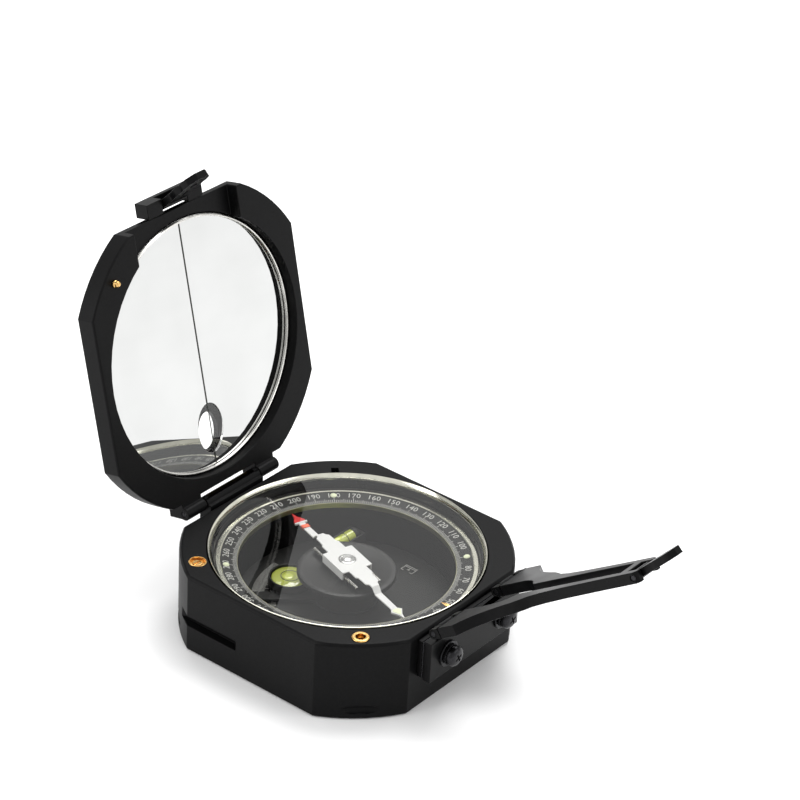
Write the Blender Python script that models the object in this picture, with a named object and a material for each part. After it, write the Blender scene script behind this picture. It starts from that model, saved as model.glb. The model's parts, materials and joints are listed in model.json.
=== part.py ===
"""Pocket sighting compass with a mirror lid, a folding sight arm and a clinometer.

Frame: +Z up, origin at the middle of the case's underside. The lid hinge runs
along X on the -Y side and the sight arm is hinged on the +Y side.
"""

import math

import bmesh
import bpy
from mathutils import Matrix

MM = 0.001

# case
HALF = 36.5
PLAN_R = 41.8
CASE_H = 21.9
EDGE = 0.6
FLOOR_TOP = 5.4
BOWL_R = 27.9
RING_LEDGE = 16.0
GLASS_BORE = 35.1
LEVER_POCKET_R = 13.0
LEVER_POCKET_H = 2.2
SHAFT_HOLE_R = 2.05
SLOT_Z = (7.4, 10.2)
SLOT_Y = (-25.0, -4.5)
SLOT_X = 34.0
NOTCH_Z = 2.9

# lid, in its own frame: v away from the hinge, w towards the lid's back
HINGE_Y = -39.2
HINGE_Z = 22.4
LID_OPEN = math.radians(102.5)
LID_MID = 39.1
LID_T = 6.2
LID_CHAMFER = 1.1
MIRROR_POCKET_R = 33.6
MIRROR_FACE = 3.45
MIRROR_T = 0.9
RECESS_HALF = 18.4
RECESS_DEPTH = 3.3
WINDOW_V = 16.3
WINDOW_A = 4.5
WINDOW_B = 6.7
PORT_V = 15.2
PORT_A = 3.5
PORT_B = 5.2
BARREL_R = 1.7
BARREL_HALF = 17.3
LUG_HALF = 10.0
LUG_SCREW_X = 6.5
LUG_SCREW_Z = 17.7
PIN_R = 0.7
PIN_HOLE_R = 0.78
PEEP_V = 77.6
PEEP_W = 4.3
PEEP_RAISED = math.radians(55.0)
PEEP_HALF = 4.2
PEEP_T = 1.8
STUD_X = 27.5
STUD_V = 66.1

# sight arm, in its own frame: s along the arm, w out of its upper face
ARM_Y = 40.6
ARM_Z = 24.0
ARM_UP = math.radians(34.0)
ARM_T = 2.8
ARM_HALF = 17.5
ARM_LEN = 55.0
ARM_END_HALF = 4.6
SLOT_HALF = 2.6
TIE_AT = 50.4
TIE_END = 52.8
WINDOW_HALF = 6.8
EAR_R = 1.3
KNUCKLE_X = (9.6, 14.4)
TIP_BEND = math.radians(14.5)
TIP_LEN = 12.5
TIP_HALF = 2.3
TIP_T = 1.9

# bracket under the arm
SCREW_X = 10.8
SCREW_Z = 15.4
SCREW_HOLE_R = 1.6
SCREW_HOLE_END = 34.2
SHANK_LEN = 7.5
BRACKET_GAP = 0.1
LAYER_Z = (10.2, 20.6)
PLATE_Z = (9.8, 21.0)

# dial
RING_R = 32.9
RING_IN = 27.3
BAND_OUT = 31.5
FLANGE_R = 34.8
PINION_R = 2.9
RING_TOP = 18.7
PLATE_TOP = 6.6
PLATE_R = 27.5
HUB_R = 12.5
HUB_TOP = 15.8
POST_R = 1.9
CLINO_TURN = math.radians(-45.5)
LONG_LEVEL = (-14.2, -13.7)
ROUND_LEVEL = (5.6, -13.6)
VERNIER_Z = (7.2, 8.0)
LEVEL_AXIS_Z = 10.6
PINION_AT = (30.0, -23.0)
LIFT_AT = (27.5, 26.9)

# needle
NEEDLE_TURN = math.radians(71.8)
NEEDLE_Z = 18.2
NEEDLE_HALF = 26.8

MATERIALS = {
    "black_paint": ((0.012, 0.012, 0.013), 0.38, 0.6),
    "black_plate": ((0.015, 0.015, 0.016), 0.5, 0.2),
    "bright_steel": ((0.72, 0.71, 0.67), 0.22, 1.0),
    "dark_steel": ((0.05, 0.05, 0.052), 0.3, 0.9),
    "brass": ((0.72, 0.5, 0.2), 0.28, 1.0),
    "mirror": ((0.92, 0.93, 0.93), 0.03, 1.0),
    "clear_glass": ((0.9, 0.93, 0.93), 0.04, 0.0),
    "level_fluid": ((0.52, 0.6, 0.12), 0.15, 0.0),
    "white_paint": ((0.85, 0.85, 0.83), 0.4, 0.0),
    "copper": ((0.65, 0.3, 0.15), 0.3, 1.0),
    "rubber": ((0.02, 0.02, 0.02), 0.8, 0.0),
}


def material(name):
    """The named surface, made the first time it is asked for."""
    found = bpy.data.materials.get(name)
    if found:
        return found
    colour, roughness, metallic = MATERIALS[name]
    made = bpy.data.materials.new(name)
    made.use_nodes = True
    shader = made.node_tree.nodes["Principled BSDF"]
    shader.inputs["Base Color"].default_value = (*colour, 1.0)
    shader.inputs["Roughness"].default_value = roughness
    shader.inputs["Metallic"].default_value = metallic
    return made


def solid(name, bm, surface, origin=(0.0, 0.0, 0.0), turn=None, smooth=True):
    """One object from a millimetre mesh drawn about its own origin."""
    bmesh.ops.remove_doubles(bm, verts=bm.verts, dist=1e-5)
    bmesh.ops.recalc_face_normals(bm, faces=bm.faces)
    bmesh.ops.scale(bm, vec=(MM, MM, MM), verts=bm.verts)
    mesh = bpy.data.meshes.new(name)
    bm.to_mesh(mesh)
    bm.free()
    if smooth:
        mesh.shade_smooth()
        mesh.set_sharp_from_angle(angle=math.radians(30.0))
    mesh.materials.append(material(surface))
    made = bpy.data.objects.new(name, mesh)
    place = Matrix.Translation([c * MM for c in origin])
    made.matrix_world = place @ (turn or Matrix.Identity(4))
    bpy.context.scene.collection.objects.link(made)
    return made


def loft(loops):
    """A closed body through loops of equal length, capped at both ends."""
    bm = bmesh.new()
    rows = [[bm.verts.new(p) for p in loop] for loop in loops]
    count = len(rows[0])
    for low, high in zip(rows, rows[1:]):
        for i in range(count):
            j = (i + 1) % count
            bm.faces.new((low[i], low[j], high[j], high[i]))
    bm.faces.new(list(reversed(rows[0])))
    bm.faces.new(rows[-1])
    return bm


def prism(outline, low, high):
    """A flat outline raised between two heights."""
    return loft([[(x, y, z) for x, y in outline] for z in (low, high)])


def lathe(profile, count=32, at=(0.0, 0.0), phase=0.0):
    """A closed (radius, height) profile turned about a vertical axis."""
    bm = bmesh.new()
    rows = []
    for i in range(count):
        a = 2 * math.pi * i / count + phase
        c, s = math.cos(a), math.sin(a)
        rows.append([bm.verts.new((at[0] + r * c, at[1] + r * s, z)) for r, z in profile])
    for i, row in enumerate(rows):
        after = rows[(i + 1) % count]
        for k in range(len(profile)):
            m = (k + 1) % len(profile)
            bm.faces.new((row[k], after[k], after[m], row[m]))
    return bm


def disc(radius, low, high, count=32, at=(0.0, 0.0)):
    """A plain upright cylinder."""
    loop = circle(radius, count, at)
    return prism(loop, low, high)


def tube(inner, outer, low, high, count=32, at=(0.0, 0.0)):
    """An upright ring of rectangular section."""
    profile = [(inner, low), (outer, low), (outer, high), (inner, high)]
    return lathe(profile, count, at)


def circle(radius, count, at=(0.0, 0.0), phase=0.0):
    """Points evenly round a circle."""
    steps = [2 * math.pi * i / count + phase for i in range(count)]
    return [(at[0] + radius * math.cos(a), at[1] + radius * math.sin(a)) for a in steps]


def box(low, high):
    """An upright box between two corners."""
    (x0, y0, z0), (x1, y1, z1) = low, high
    return prism([(x0, y0), (x1, y0), (x1, y1), (x0, y1)], z0, z1)


def along_x(radius, low, high, y=0.0, z=0.0, count=16):
    """A cylinder lying along X."""
    loop = circle(radius, count, (y, z))
    return loft([[(x, a, b) for a, b in loop] for x in (low, high)])


def along_y(radius, low, high, x, z, count=16):
    """A cylinder lying along Y."""
    loop = circle(radius, count, (x, z))
    return loft([[(a, y, b) for a, b in loop] for y in (high, low)])


def combine(target, cutters, operation="DIFFERENCE"):
    """Cut bodies out of an object, or weld them on, leaving a plain mesh."""
    place = target.matrix_world.copy()
    target.matrix_world = Matrix.Identity(4)
    for number, bm in enumerate(cutters):
        bmesh.ops.recalc_face_normals(bm, faces=bm.faces)
        cutter = solid(f"cutter_{number}", bm, "black_paint", smooth=False)
        step = target.modifiers.new("shape", "BOOLEAN")
        step.operation = operation
        step.solver = "EXACT"
        step.object = cutter
        bpy.context.view_layer.update()
        graph = bpy.context.evaluated_depsgraph_get()
        shaped = bpy.data.meshes.new_from_object(target.evaluated_get(graph))
        target.modifiers.remove(step)
        target.data = shaped
        bpy.data.objects.remove(cutter)
    target.matrix_world = place
    tidy(target)
    return target


def tidy(target):
    """Flat faces merged back into one and round ones shaded smooth."""
    bm = bmesh.new()
    bm.from_mesh(target.data)
    bmesh.ops.remove_doubles(bm, verts=bm.verts, dist=2e-6)
    bmesh.ops.dissolve_degenerate(bm, edges=bm.edges, dist=2e-6)
    bm.to_mesh(target.data)
    bm.free()
    target.data.shade_smooth()
    target.data.set_sharp_from_angle(angle=math.radians(30.0))


def case_outline(half, radius, steps=7):
    """Four flats joined by four arcs, anticlockwise from the +X flat."""
    edge = math.sqrt(radius * radius - half * half)
    first = math.atan2(edge, half)
    last = math.pi / 2 - first
    points = []
    for quarter in range(4):
        for i in range(steps + 1):
            a = quarter * math.pi / 2 + first + (last - first) * i / steps
            points.append((radius * math.cos(a), radius * math.sin(a)))
    return points


def shell_loops(levels):
    """The case's outline at each (height, inset)."""
    loops = []
    for z, inset in levels:
        flat = case_outline(HALF - inset, PLAN_R - inset)
        loops.append([(x, y, z) for x, y in flat])
    return loops


def build_case():
    """The cast case: bowl, ledges, side slots, finger notches and bores."""
    levels = [(0.0, EDGE), (EDGE, 0.0), (CASE_H - EDGE, 0.0), (CASE_H, EDGE)]
    case = solid("case_shell", loft(shell_loops(levels)), "black_paint")
    top = CASE_H + 1.0
    bore = [
        (0.0, FLOOR_TOP),
        (BOWL_R, FLOOR_TOP),
        (BOWL_R, RING_LEDGE),
        (GLASS_BORE, RING_LEDGE),
        (GLASS_BORE, top),
        (0.0, top),
    ]
    combine(case, [round_body(bore, 56)])
    pocket = disc(LEVER_POCKET_R, -1.0, LEVER_POCKET_H, 40)
    shaft = disc(SHAFT_HOLE_R, 1.0, FLOOR_TOP + 1.0, 20)
    slots = []
    for side in (-1, 1):
        near, far = sorted((side * SLOT_X, side * (HALF + 6.0)))
        low = (near, SLOT_Y[0], SLOT_Z[0])
        slots.append(box(low, (far, SLOT_Y[1], SLOT_Z[1])))
    notches = []
    for quarter in range(4):
        notches.append(finger_notch(math.radians(45.0 + 90.0 * quarter)))
    pry = box((-0.95, 34.2, 20.4), (0.95, 37.6, top))
    bmesh.ops.rotate(pry, matrix=Matrix.Rotation(math.radians(135.0), 3, "Z"), verts=pry.verts)
    hole = (SCREW_HOLE_END, HALF + 1.0)
    screws = [along_y(SCREW_HOLE_R, *hole, s * SCREW_X, SCREW_Z) for s in (-1, 1)]
    lug_holes = [along_y(0.9, -HALF - 1.0, -33.8, s * LUG_SCREW_X, LUG_SCREW_Z, 12) for s in (-1, 1)]
    wells = [
        disc(3.2, RING_LEDGE, 18.2, 24, PINION_AT),
        disc(2.35, 17.0, top, 24, PINION_AT),
        disc(2.35, 20.3, top, 24, LIFT_AT),
        disc(1.3, 7.0, top, 16, LIFT_AT),
    ]
    combine(case, [pocket, shaft, pry, *slots, *notches, *screws, *lug_holes, *wells])


def round_body(profile, count):
    """A solid of revolution from a (radius, height) profile that meets the axis."""
    loops = [[(r * math.cos(2 * math.pi * i / count), r * math.sin(2 * math.pi * i / count), z)
              for i in range(count)] for r, z in profile if r > 0.0]
    return loft(loops)


def finger_notch(angle):
    """A lens-shaped cutter set into the foot of one rounded corner."""
    bm = bmesh.new()
    bmesh.ops.create_uvsphere(bm, u_segments=14, v_segments=8, radius=1.0)
    bmesh.ops.scale(bm, vec=(1.3, 5.2, 1.25), verts=bm.verts)
    bmesh.ops.translate(bm, vec=(PLAN_R + 0.1, 0.0, NOTCH_Z), verts=bm.verts)
    bmesh.ops.rotate(bm, matrix=Matrix.Rotation(angle, 3, "Z"), verts=bm.verts)
    return bm


def build_glazing():
    """Glass, the spacer it rests on and the snap ring that holds it."""
    solid("glass_spacer", tube(33.3, 34.9, 18.1, 20.3, 56), "black_paint")
    solid("glass_crystal", disc(33.9, 20.55, 21.45, 56), "clear_glass")
    profile = [(34.2, 20.6), (34.8, 20.6), (34.8, 22.0), (34.5, 22.2), (34.2, 22.0)]
    solid("bezel_ring", lathe(profile, 56), "bright_steel")


def build_dial():
    """The graduated ring, its pinion, the index pin and the scale plate."""
    profile = [
        (RING_IN, 16.3),
        (FLANGE_R, 16.3),
        (FLANGE_R, 17.7),
        (RING_R, 17.7),
        (RING_R, RING_TOP),
        (BAND_OUT + 0.1, RING_TOP),
        (BAND_OUT, RING_TOP - 0.4),
        (RING_IN, 17.7),
    ]
    solid("graduated_ring", lathe(profile, 56), "black_plate")
    pinion_profile = [(PINION_R, 16.3), (PINION_R, 17.7), (1.2, 17.7), (1.2, 21.7)]
    pinion = solid("ring_pinion", moved(round_body(pinion_profile, 24), PINION_AT), "brass")
    x, y = PINION_AT
    slot = box((x - 2.0, y - 0.25, 21.2), (x + 2.0, y + 0.25, 22.0))
    combine(pinion, [slot])
    set_origin(pinion, (*PINION_AT, 0.0))
    solid("pinion_bush", tube(1.28, 2.25, 19.3, 22.05, 20, PINION_AT), "brass")
    index = loft([[(r * math.cos(a), y, 19.55 + r * math.sin(a) * 0.7)
                   for a in [2 * math.pi * i / 8 for i in range(8)]]
                  for y, r in ((29.8, 0.08), (31.2, 0.5), (32.6, 0.5), (33.2, 0.3))])
    solid("index_pin", index, "brass")
    plate = tube(3.2, PLATE_R, FLOOR_TOP + 0.3, PLATE_TOP, 40)
    solid("scale_plate", plate, "black_plate")


def moved(bm, at):
    """A mesh shifted across the plane."""
    bmesh.ops.translate(bm, vec=(at[0], at[1], 0.0), verts=bm.verts)
    return bm


def set_origin(made, at):
    """Put an object's origin on a point given in millimetres, shape unmoved."""
    shift = Matrix.Translation([-c * MM for c in at])
    made.data.transform(shift)
    made.matrix_world = Matrix.Translation([c * MM for c in at])


def build_lift():
    """The needle-lift pin, its return spring and its flanged bush."""
    bush = [(1.25, 20.6), (2.2, 20.6), (2.2, 22.05), (1.9, 22.25), (1.25, 22.25)]
    solid("lift_bush", lathe(bush, 24, LIFT_AT), "brass")
    profile = [(0.6, 12.0), (0.6, 16.0), (1.1, 16.2), (1.1, 20.2), (0.5, 20.5)]
    pin = solid("lift_pin", moved(round_body(profile, 16), LIFT_AT), "brass")
    set_origin(pin, (*LIFT_AT, 16.0))
    solid("lift_spring", coil(0.9, 0.2, 8.0, 15.9, 6, LIFT_AT), "bright_steel")


def coil(radius, wire, low, high, turns, at, per_turn=9, sides=4):
    """A round-wire helical spring standing on Z."""
    loops = []
    count = turns * per_turn
    for i in range(count + 1):
        a = 2 * math.pi * i / per_turn
        z = low + wire + (high - low - 2 * wire) * i / count
        ring = []
        for k in range(sides):
            b = 2 * math.pi * k / sides
            r = radius + wire * math.cos(b)
            ring.append((at[0] + r * math.cos(a), at[1] + r * math.sin(a), z + wire * math.sin(b)))
        loops.append(ring)
    return loft(loops)


def build_clinometer():
    """Shaft, hub and pivot post, the vernier arm with its levels, the lever."""
    post_top = HUB_TOP - 1.5
    shaft = [(1.95, 2.3), (1.95, 7.2), (POST_R, 7.2), (POST_R, post_top)]
    solid("clinometer_shaft", round_body(shaft, 20), "brass")
    hub_low = HUB_TOP - 1.2
    hub = [(2.2, hub_low), (HUB_R, hub_low), (HUB_R, HUB_TOP - 0.3), (HUB_R - 0.3, HUB_TOP), (2.2, HUB_TOP)]
    solid("hub_disc", lathe(hub, 40), "black_plate")
    post = [(1.6, hub_low), (1.6, HUB_TOP + 0.3), (0.25, NEEDLE_Z - 0.6)]
    solid("pivot_post", round_body(post, 16), "bright_steel")
    build_vernier()
    build_long_level()
    build_round_level()
    lever = solid("clinometer_lever", prism(lever_outline(), 0.6, 2.0), "black_paint")
    grip = box((-0.5, -11.2, 0.2), (0.5, -7.2, 1.0))
    combine(lever, [grip], "UNION")


def build_vernier():
    """The sheet arm that carries the vernier finger and both levels."""
    low, high = VERNIER_Z
    outline = hub_and_finger(8.2, 24.6, CLINO_TURN, 0.078)
    arm = solid("vernier_arm", prism(outline, low, high), "black_plate")
    x, y = LONG_LEVEL
    bar = box((x - 7.4, y - 2.6, low), (ROUND_LEVEL[0] + 1.0, y + 2.6, high))
    cup_seat = disc(5.6, low, high, 32, ROUND_LEVEL)
    web = box((-7.0, -13.0, low), (7.0, -3.0, high))
    combine(arm, [bar, cup_seat, web], "UNION")
    combine(arm, [disc(2.15, low - 1.0, high + 1.0, 20)])


def build_long_level():
    """The tubular level in its open-topped holder."""
    x, y = LONG_LEVEL
    body = box((x - 7.2, y - 2.45, 8.1), (x + 10.4, y + 2.45, 11.2))
    holder = solid("long_level_holder", body, "black_plate")
    bed = along_x(2.0, x - 6.2, x + 8.6, y, LEVEL_AXIS_Z, 20)
    open_top = box((x - 4.3, y - 1.75, 10.0), (x + 4.3, y + 1.75, 12.0))
    combine(holder, [bed, open_top])
    vial = along_x(1.7, x - 5.9, x + 8.2, y, LEVEL_AXIS_Z, 20)
    solid("long_level_vial", vial, "level_fluid")


def build_round_level():
    """The bull's-eye level in its ring."""
    cup = [(5.0, 8.1), (5.5, 8.1), (5.5, 10.2), (5.0, 10.2)]
    solid("round_level_cup", lathe(cup, 32, ROUND_LEVEL), "bright_steel")
    dome = [(4.7, 8.2), (4.7, 9.7), (3.4, 10.1)]
    solid("round_level_vial", moved(round_body(dome, 32), ROUND_LEVEL), "level_fluid")


def hub_and_finger(hub, reach, turn, spread):
    """A round hub with one slim finger that widens a little to its end."""
    root = spread * 4.0
    points = []
    for i in range(29):
        a = root + (2 * math.pi - root * 2.0) * i / 28
        points.append((hub * math.cos(a), hub * math.sin(a)))
    sides = [(reach * 0.6, -spread * 1.5), (reach, -spread), (reach, 0.0), (reach, spread),
             (reach * 0.6, spread * 1.5)]
    points += [(r * math.cos(a), r * math.sin(a)) for r, a in sides]
    c, s = math.cos(turn), math.sin(turn)
    return [(x * c - y * s, x * s + y * c) for x, y in points]


def lever_outline():
    """The rear lever: a round boss with a tapering handle towards -Y."""
    points = []
    for i in range(17):
        a = math.radians(-50.0 + 280.0 * i / 16)
        points.append((4.2 * math.cos(a), 4.2 * math.sin(a)))
    for i in range(7):
        a = math.radians(200.0 + 140.0 * i / 6)
        points.append((2.0 * math.cos(a), -10.2 + 2.0 * math.sin(a)))
    return points


def build_needle():
    """The needle frame with its cap, side magnets and balance winding."""
    turn = Matrix.Rotation(NEEDLE_TURN, 4, "Z")
    at = (0.0, 0.0, NEEDLE_Z)
    frame = solid("needle_frame", needle_blade(), "white_paint", at, turn)
    flanges = []
    for side in (-1, 1):
        y0, y1 = sorted((side * 3.9, side * 4.3))
        flanges.append(box((-4.7, y0, -1.9), (4.7, y1, 0.1)))
    combine(frame, flanges, "UNION")
    combine(frame, [disc(2.3, -2.0, 2.0, 20)])
    cap = [(1.0, -0.1), (2.1, -0.4), (2.1, 0.4), (1.6, 0.8)]
    solid("jewel_cap", round_body(cap, 20), "bright_steel", at, turn)
    for name, side in (("magnet_left", 1), ("magnet_right", -1)):
        rod = along_x(0.45, -10.2, 10.2, side * 3.3, -1.35, 10)
        solid(name, rod, "bright_steel", at, turn)
    solid("balance_wire", ring_about_x(-20.6, -19.2), "copper", at, turn)


def needle_blade():
    """The pressed blade: a wide plate, stepped shoulders and two bent arms."""
    half = [
        (NEEDLE_HALF, 0.12, -1.7),
        (24.8, 0.45, -1.7),
        (22.9, 1.6, -1.7),
        (22.3, 1.3, -1.7),
        (22.0, 0.85, -1.7),
        (14.6, 0.95, -1.7),
        (13.2, 1.05, -0.2),
        (12.2, 1.2, 0.0),
        (11.6, 1.9, 0.0),
        (8.4, 2.0, 0.0),
        (8.0, 2.5, 0.0),
        (4.9, 2.5, 0.0),
        (4.8, 4.3, 0.0),
    ]
    stations = [(x, w, z) for x, w, z in half] + [(-x, w, z) for x, w, z in reversed(half)]
    loops = []
    for x, w, z in stations:
        loops.append([(x, -w, z), (x, w, z), (x, w, z + 0.4), (x, -w, z + 0.4)])
    return loft(loops)


def ring_about_x(low, high):
    """A flat sleeve wound round the red arm."""
    outer = [(-1.3, -1.95), (1.3, -1.95), (1.3, -1.05), (-1.3, -1.05)]
    inner = [(-1.02, -1.75), (1.02, -1.75), (1.02, -1.25), (-1.02, -1.25)]
    bm = bmesh.new()
    rows = []
    for x in (low, high):
        for loop in (outer, inner):
            rows.append([bm.verts.new((x, y, z)) for y, z in loop])
    out_low, in_low, out_high, in_high = rows
    for a, b in ((out_low, out_high), (out_high, in_high), (in_high, in_low), (in_low, out_low)):
        for i in range(4):
            j = (i + 1) % 4
            bm.faces.new((a[i], a[j], b[j], b[i]))
    return bm


def build_bracket():
    """The three-layer bracket on the +Y flat, its knuckles, screws and washers."""
    y0 = HALF + BRACKET_GAP
    front = y0 + 4.0
    block = layer("bracket_block", (y0, y0 + 1.2), LAYER_Z, "black_paint")
    shim = layer("bracket_shim", (y0 + 1.3, y0 + 1.7), LAYER_Z, "dark_steel")
    plate = layer("bracket_plate", (y0 + 1.8, front), PLATE_Z, "black_paint")
    knuckles = []
    for side in (-1, 1):
        x0, x1 = sorted((side * KNUCKLE_X[0], side * KNUCKLE_X[1]))
        knuckles.append(box((x0, ARM_Y - 1.3, 20.0), (x1, ARM_Y - 0.1, ARM_Z)))
        knuckles.append(along_x(EAR_R, x0, x1, ARM_Y, ARM_Z, 20))
    combine(plate, knuckles, "UNION")
    pin_holes = [along_x(PIN_HOLE_R, -ARM_HALF - 1, ARM_HALF + 1, ARM_Y, ARM_Z, 16)]
    combine(plate, pin_holes)
    for target in (block, shim, plate):
        combine(target, [along_y(SCREW_HOLE_R, HALF - 1, 43.0, s * SCREW_X, SCREW_Z) for s in (-1, 1)])
    for number, side in ((1, 1), (2, -1)):
        x = side * SCREW_X
        solid(f"flat_washer_{number}", washer(x, front + 0.1, 0.5, 3.4, 1.6), "dark_steel")
        solid(f"lock_washer_{number}", washer(x, front + 0.7, 0.6, 2.7, 1.6), "dark_steel")
        pan_screw(f"bracket_screw_{number}", x, front + 1.4)
    for name, side in (("arm_pin_a", 1), ("arm_pin_b", -1)):
        x0, x1 = sorted((side * 7.1, side * (ARM_HALF - 0.2)))
        solid(name, along_x(PIN_R, x0, x1, ARM_Y, ARM_Z, 16), "dark_steel")


def layer(name, span_y, span_z, surface):
    """One flat layer of the bracket."""
    low = (-ARM_HALF, span_y[0], span_z[0])
    high = (ARM_HALF, span_y[1], span_z[1])
    return solid(name, box(low, high), surface)


def washer(x, y, thick, outer, inner):
    """A flat ring lying against the bracket's face."""
    bm = tube(inner, outer, 0.0, thick, 16)
    bmesh.ops.rotate(bm, matrix=Matrix.Rotation(math.radians(-90.0), 3, "X"), verts=bm.verts)
    bmesh.ops.translate(bm, vec=(x, y, SCREW_Z), verts=bm.verts)
    return bm


def pan_screw(name, x, y):
    """A cross-recess pan-head screw driven towards -Y."""
    head = [(2.65, 0.0), (2.65, 0.9), (2.1, 1.6), (1.1, 1.95)]
    bm = round_body([(1.25, -SHANK_LEN), (1.25, 0.0), *head], 20)
    place = Matrix.Rotation(math.radians(-90.0), 4, "X")
    screw = solid(name, bm, "dark_steel", (x, y, SCREW_Z), place)
    arms = box((-1.5, -0.3, 0.9), (1.5, 0.3, 3.0))
    other = box((-0.3, -1.5, 0.9), (0.3, 1.5, 3.0))
    combine(screw, [arms, other])


def build_arm():
    """The sight arm with its window and slot, and the folding tip sight."""
    turn = Matrix.Rotation(ARM_UP, 4, "X")
    at = (0.0, ARM_Y, ARM_Z)
    arm = solid("sight_arm", prism(arm_outline(), -ARM_T / 2, ARM_T / 2), "black_paint", at, turn)
    ears = []
    for side in (-1, 1):
        for low, high in ((WINDOW_HALF, KNUCKLE_X[0] - 0.3), (KNUCKLE_X[1] + 0.3, ARM_HALF)):
            x0, x1 = sorted((side * (low + 0.1), side * (high - 0.1)))
            ears.append(ear(x0, x1))
    combine(arm, ears, "UNION")
    window = prism(window_outline(), -5.0, 5.0)
    fork = box((-SLOT_HALF, TIE_END, -5.0), (SLOT_HALF, ARM_LEN + 5.0, 5.0))
    pin_bore = along_x(PIN_HOLE_R, -ARM_HALF - 1, ARM_HALF + 1, 0.0, 0.0, 16)
    tip_bore = along_x(PIN_HOLE_R, -9.0, 9.0, ARM_LEN, 0.0, 16)
    combine(arm, [window, fork, pin_bore, tip_bore])
    tip_pin = along_x(PIN_R, -ARM_END_HALF + 0.2, ARM_END_HALF - 0.2, ARM_LEN, 0.0, 16)
    solid("tip_pin", tip_pin, "dark_steel", at, turn)
    tip_y = ARM_Y + ARM_LEN * math.cos(ARM_UP)
    tip_z = ARM_Z + ARM_LEN * math.sin(ARM_UP)
    bend = Matrix.Rotation(ARM_UP + TIP_BEND, 4, "X")
    leaf = sight_leaf("sight_tip", TIP_HALF, TIP_LEN, TIP_T, (0.0, tip_y, tip_z), bend)
    hole = disc(0.7, -3.0, 3.0, 12, (0.0, 9.2))
    slit = box((-0.3, 3.4, -3.0), (0.3, 6.8, 3.0))
    combine(leaf, [hole, slit])


def ear(low, high):
    """A hinge ear round the X axis, running forward into the plate."""
    back = [math.radians(90.0 + 18.0 * i) for i in range(11)]
    side = [(EAR_R * math.cos(a), EAR_R * math.sin(a)) for a in back]
    side += [(2.7, -EAR_R), (2.7, EAR_R)]
    return loft([[(x, y, z) for y, z in side] for x in (low, high)])


def arm_outline():
    """The arm's outer plan: two wings drawn in to a narrow bar."""
    right = [
        (ARM_HALF, 2.3),
        (ARM_HALF, 7.6),
        (15.3, 9.0),
        (13.2, 11.0),
        (11.4, 13.6),
        (9.9, 17.0),
        (8.9, 19.8),
        (7.8, 21.8),
        (6.6, 23.6),
        (5.8, 27.0),
        (5.2, 33.0),
        (4.8, 44.0),
        (ARM_END_HALF, ARM_LEN + 0.4),
        (ARM_END_HALF - 0.7, ARM_LEN + 1.4),
    ]
    return right + [(-x, y) for x, y in reversed(right)]


def window_outline():
    """The open base of the arm, drawn in to the long slot."""
    right = [
        (WINDOW_HALF, 0.0),
        (WINDOW_HALF, 9.4),
        (6.7, 11.6),
        (6.1, 13.8),
        (4.9, 15.6),
        (3.3, 16.8),
        (SLOT_HALF, 17.6),
        (SLOT_HALF, TIE_AT),
    ]
    return right + [(-x, y) for x, y in reversed(right)]


def sight_leaf(name, half, length, thick, at, turn):
    """A folding sight leaf: round hinge eye, waisted sides and a pointed end."""
    sides = [
        (1.0, 0.98),
        (0.2 * length, 0.98),
        (0.3 * length, 0.86),
        (0.42 * length, 0.98),
        (0.52 * length, 1.0),
        (0.62 * length, 0.88),
        (0.72 * length, 0.98),
        (0.86 * length, 0.9),
        (length, 0.42),
    ]
    outline = [(half * k, y) for y, k in sides]
    outline += [(-half * k, y) for y, k in reversed(sides)]
    leaf = solid(name, prism(outline, -thick / 2, thick / 2), "black_paint", at, turn)
    eye = along_x(1.25, -half * 0.98, half * 0.98, 0.0, 0.0, 16)
    web = box((-half * 0.98, 0.0, -thick / 2), (half * 0.98, 1.6, thick / 2))
    combine(leaf, [eye, web], "UNION")
    combine(leaf, [along_x(PIN_HOLE_R, -half - 1, half + 1, 0.0, 0.0, 16)])
    return leaf


def lid_loops(levels):
    """The lid's outline at each (height, inset), about the hinge."""
    loops = []
    for w, inset in levels:
        flat = case_outline(HALF - inset, PLAN_R - inset)
        loops.append([(x, y + LID_MID, w) for x, y in flat])
    return loops


def build_lid():
    """The lid shell with its hinge knuckles, its pocket, recess and window."""
    turn = Matrix.Rotation(LID_OPEN, 4, "X")
    at = (0.0, HINGE_Y, HINGE_Z)
    levels = [(0.0, 0.3), (0.3, 0.0), (LID_T - LID_CHAMFER, 0.0), (LID_T, LID_CHAMFER)]
    lid = solid("lid_shell", loft(lid_loops(levels)), "black_paint", at, turn)
    tabs = []
    for side in (-1, 1):
        x0, x1 = sorted((side * (LUG_HALF + 0.3), side * BARREL_HALF))
        tabs.append(box((x0, -1.5, 0.0), (x1, 4.0, LID_T - LID_CHAMFER)))
        tabs.append(along_x(BARREL_R, x0, x1, 0.0, 0.0, 20))
    combine(lid, tabs, "UNION")
    pocket = disc(MIRROR_POCKET_R, -1.0, MIRROR_FACE + MIRROR_T + 0.1, 56, (0.0, LID_MID))
    recess_far = LID_MID + HALF + 5.0
    recess = box((-RECESS_HALF, LID_MID, -1.0), (RECESS_HALF, recess_far, RECESS_DEPTH))
    window = oval(PORT_V, PORT_A, PORT_B, -1.0, LID_T + 1.0)
    bore = along_x(PIN_HOLE_R, -BARREL_HALF - 1, BARREL_HALF + 1, 0.0, 0.0, 16)
    stud_hole = disc(0.75, -1.0, 3.0, 12, (STUD_X, STUD_V))
    combine(lid, [pocket, recess, window, bore, stud_hole])
    build_mirror(at, turn)
    build_peep(at, turn)
    build_hinge()


def oval(v, half_x, half_v, low, high):
    """An upright oval prism, a given way along the lid."""
    points = []
    for i in range(32):
        a = 2 * math.pi * i / 32
        points.append((half_x * math.cos(a), v + half_v * math.sin(a)))
    return prism(points, low, high)


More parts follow.
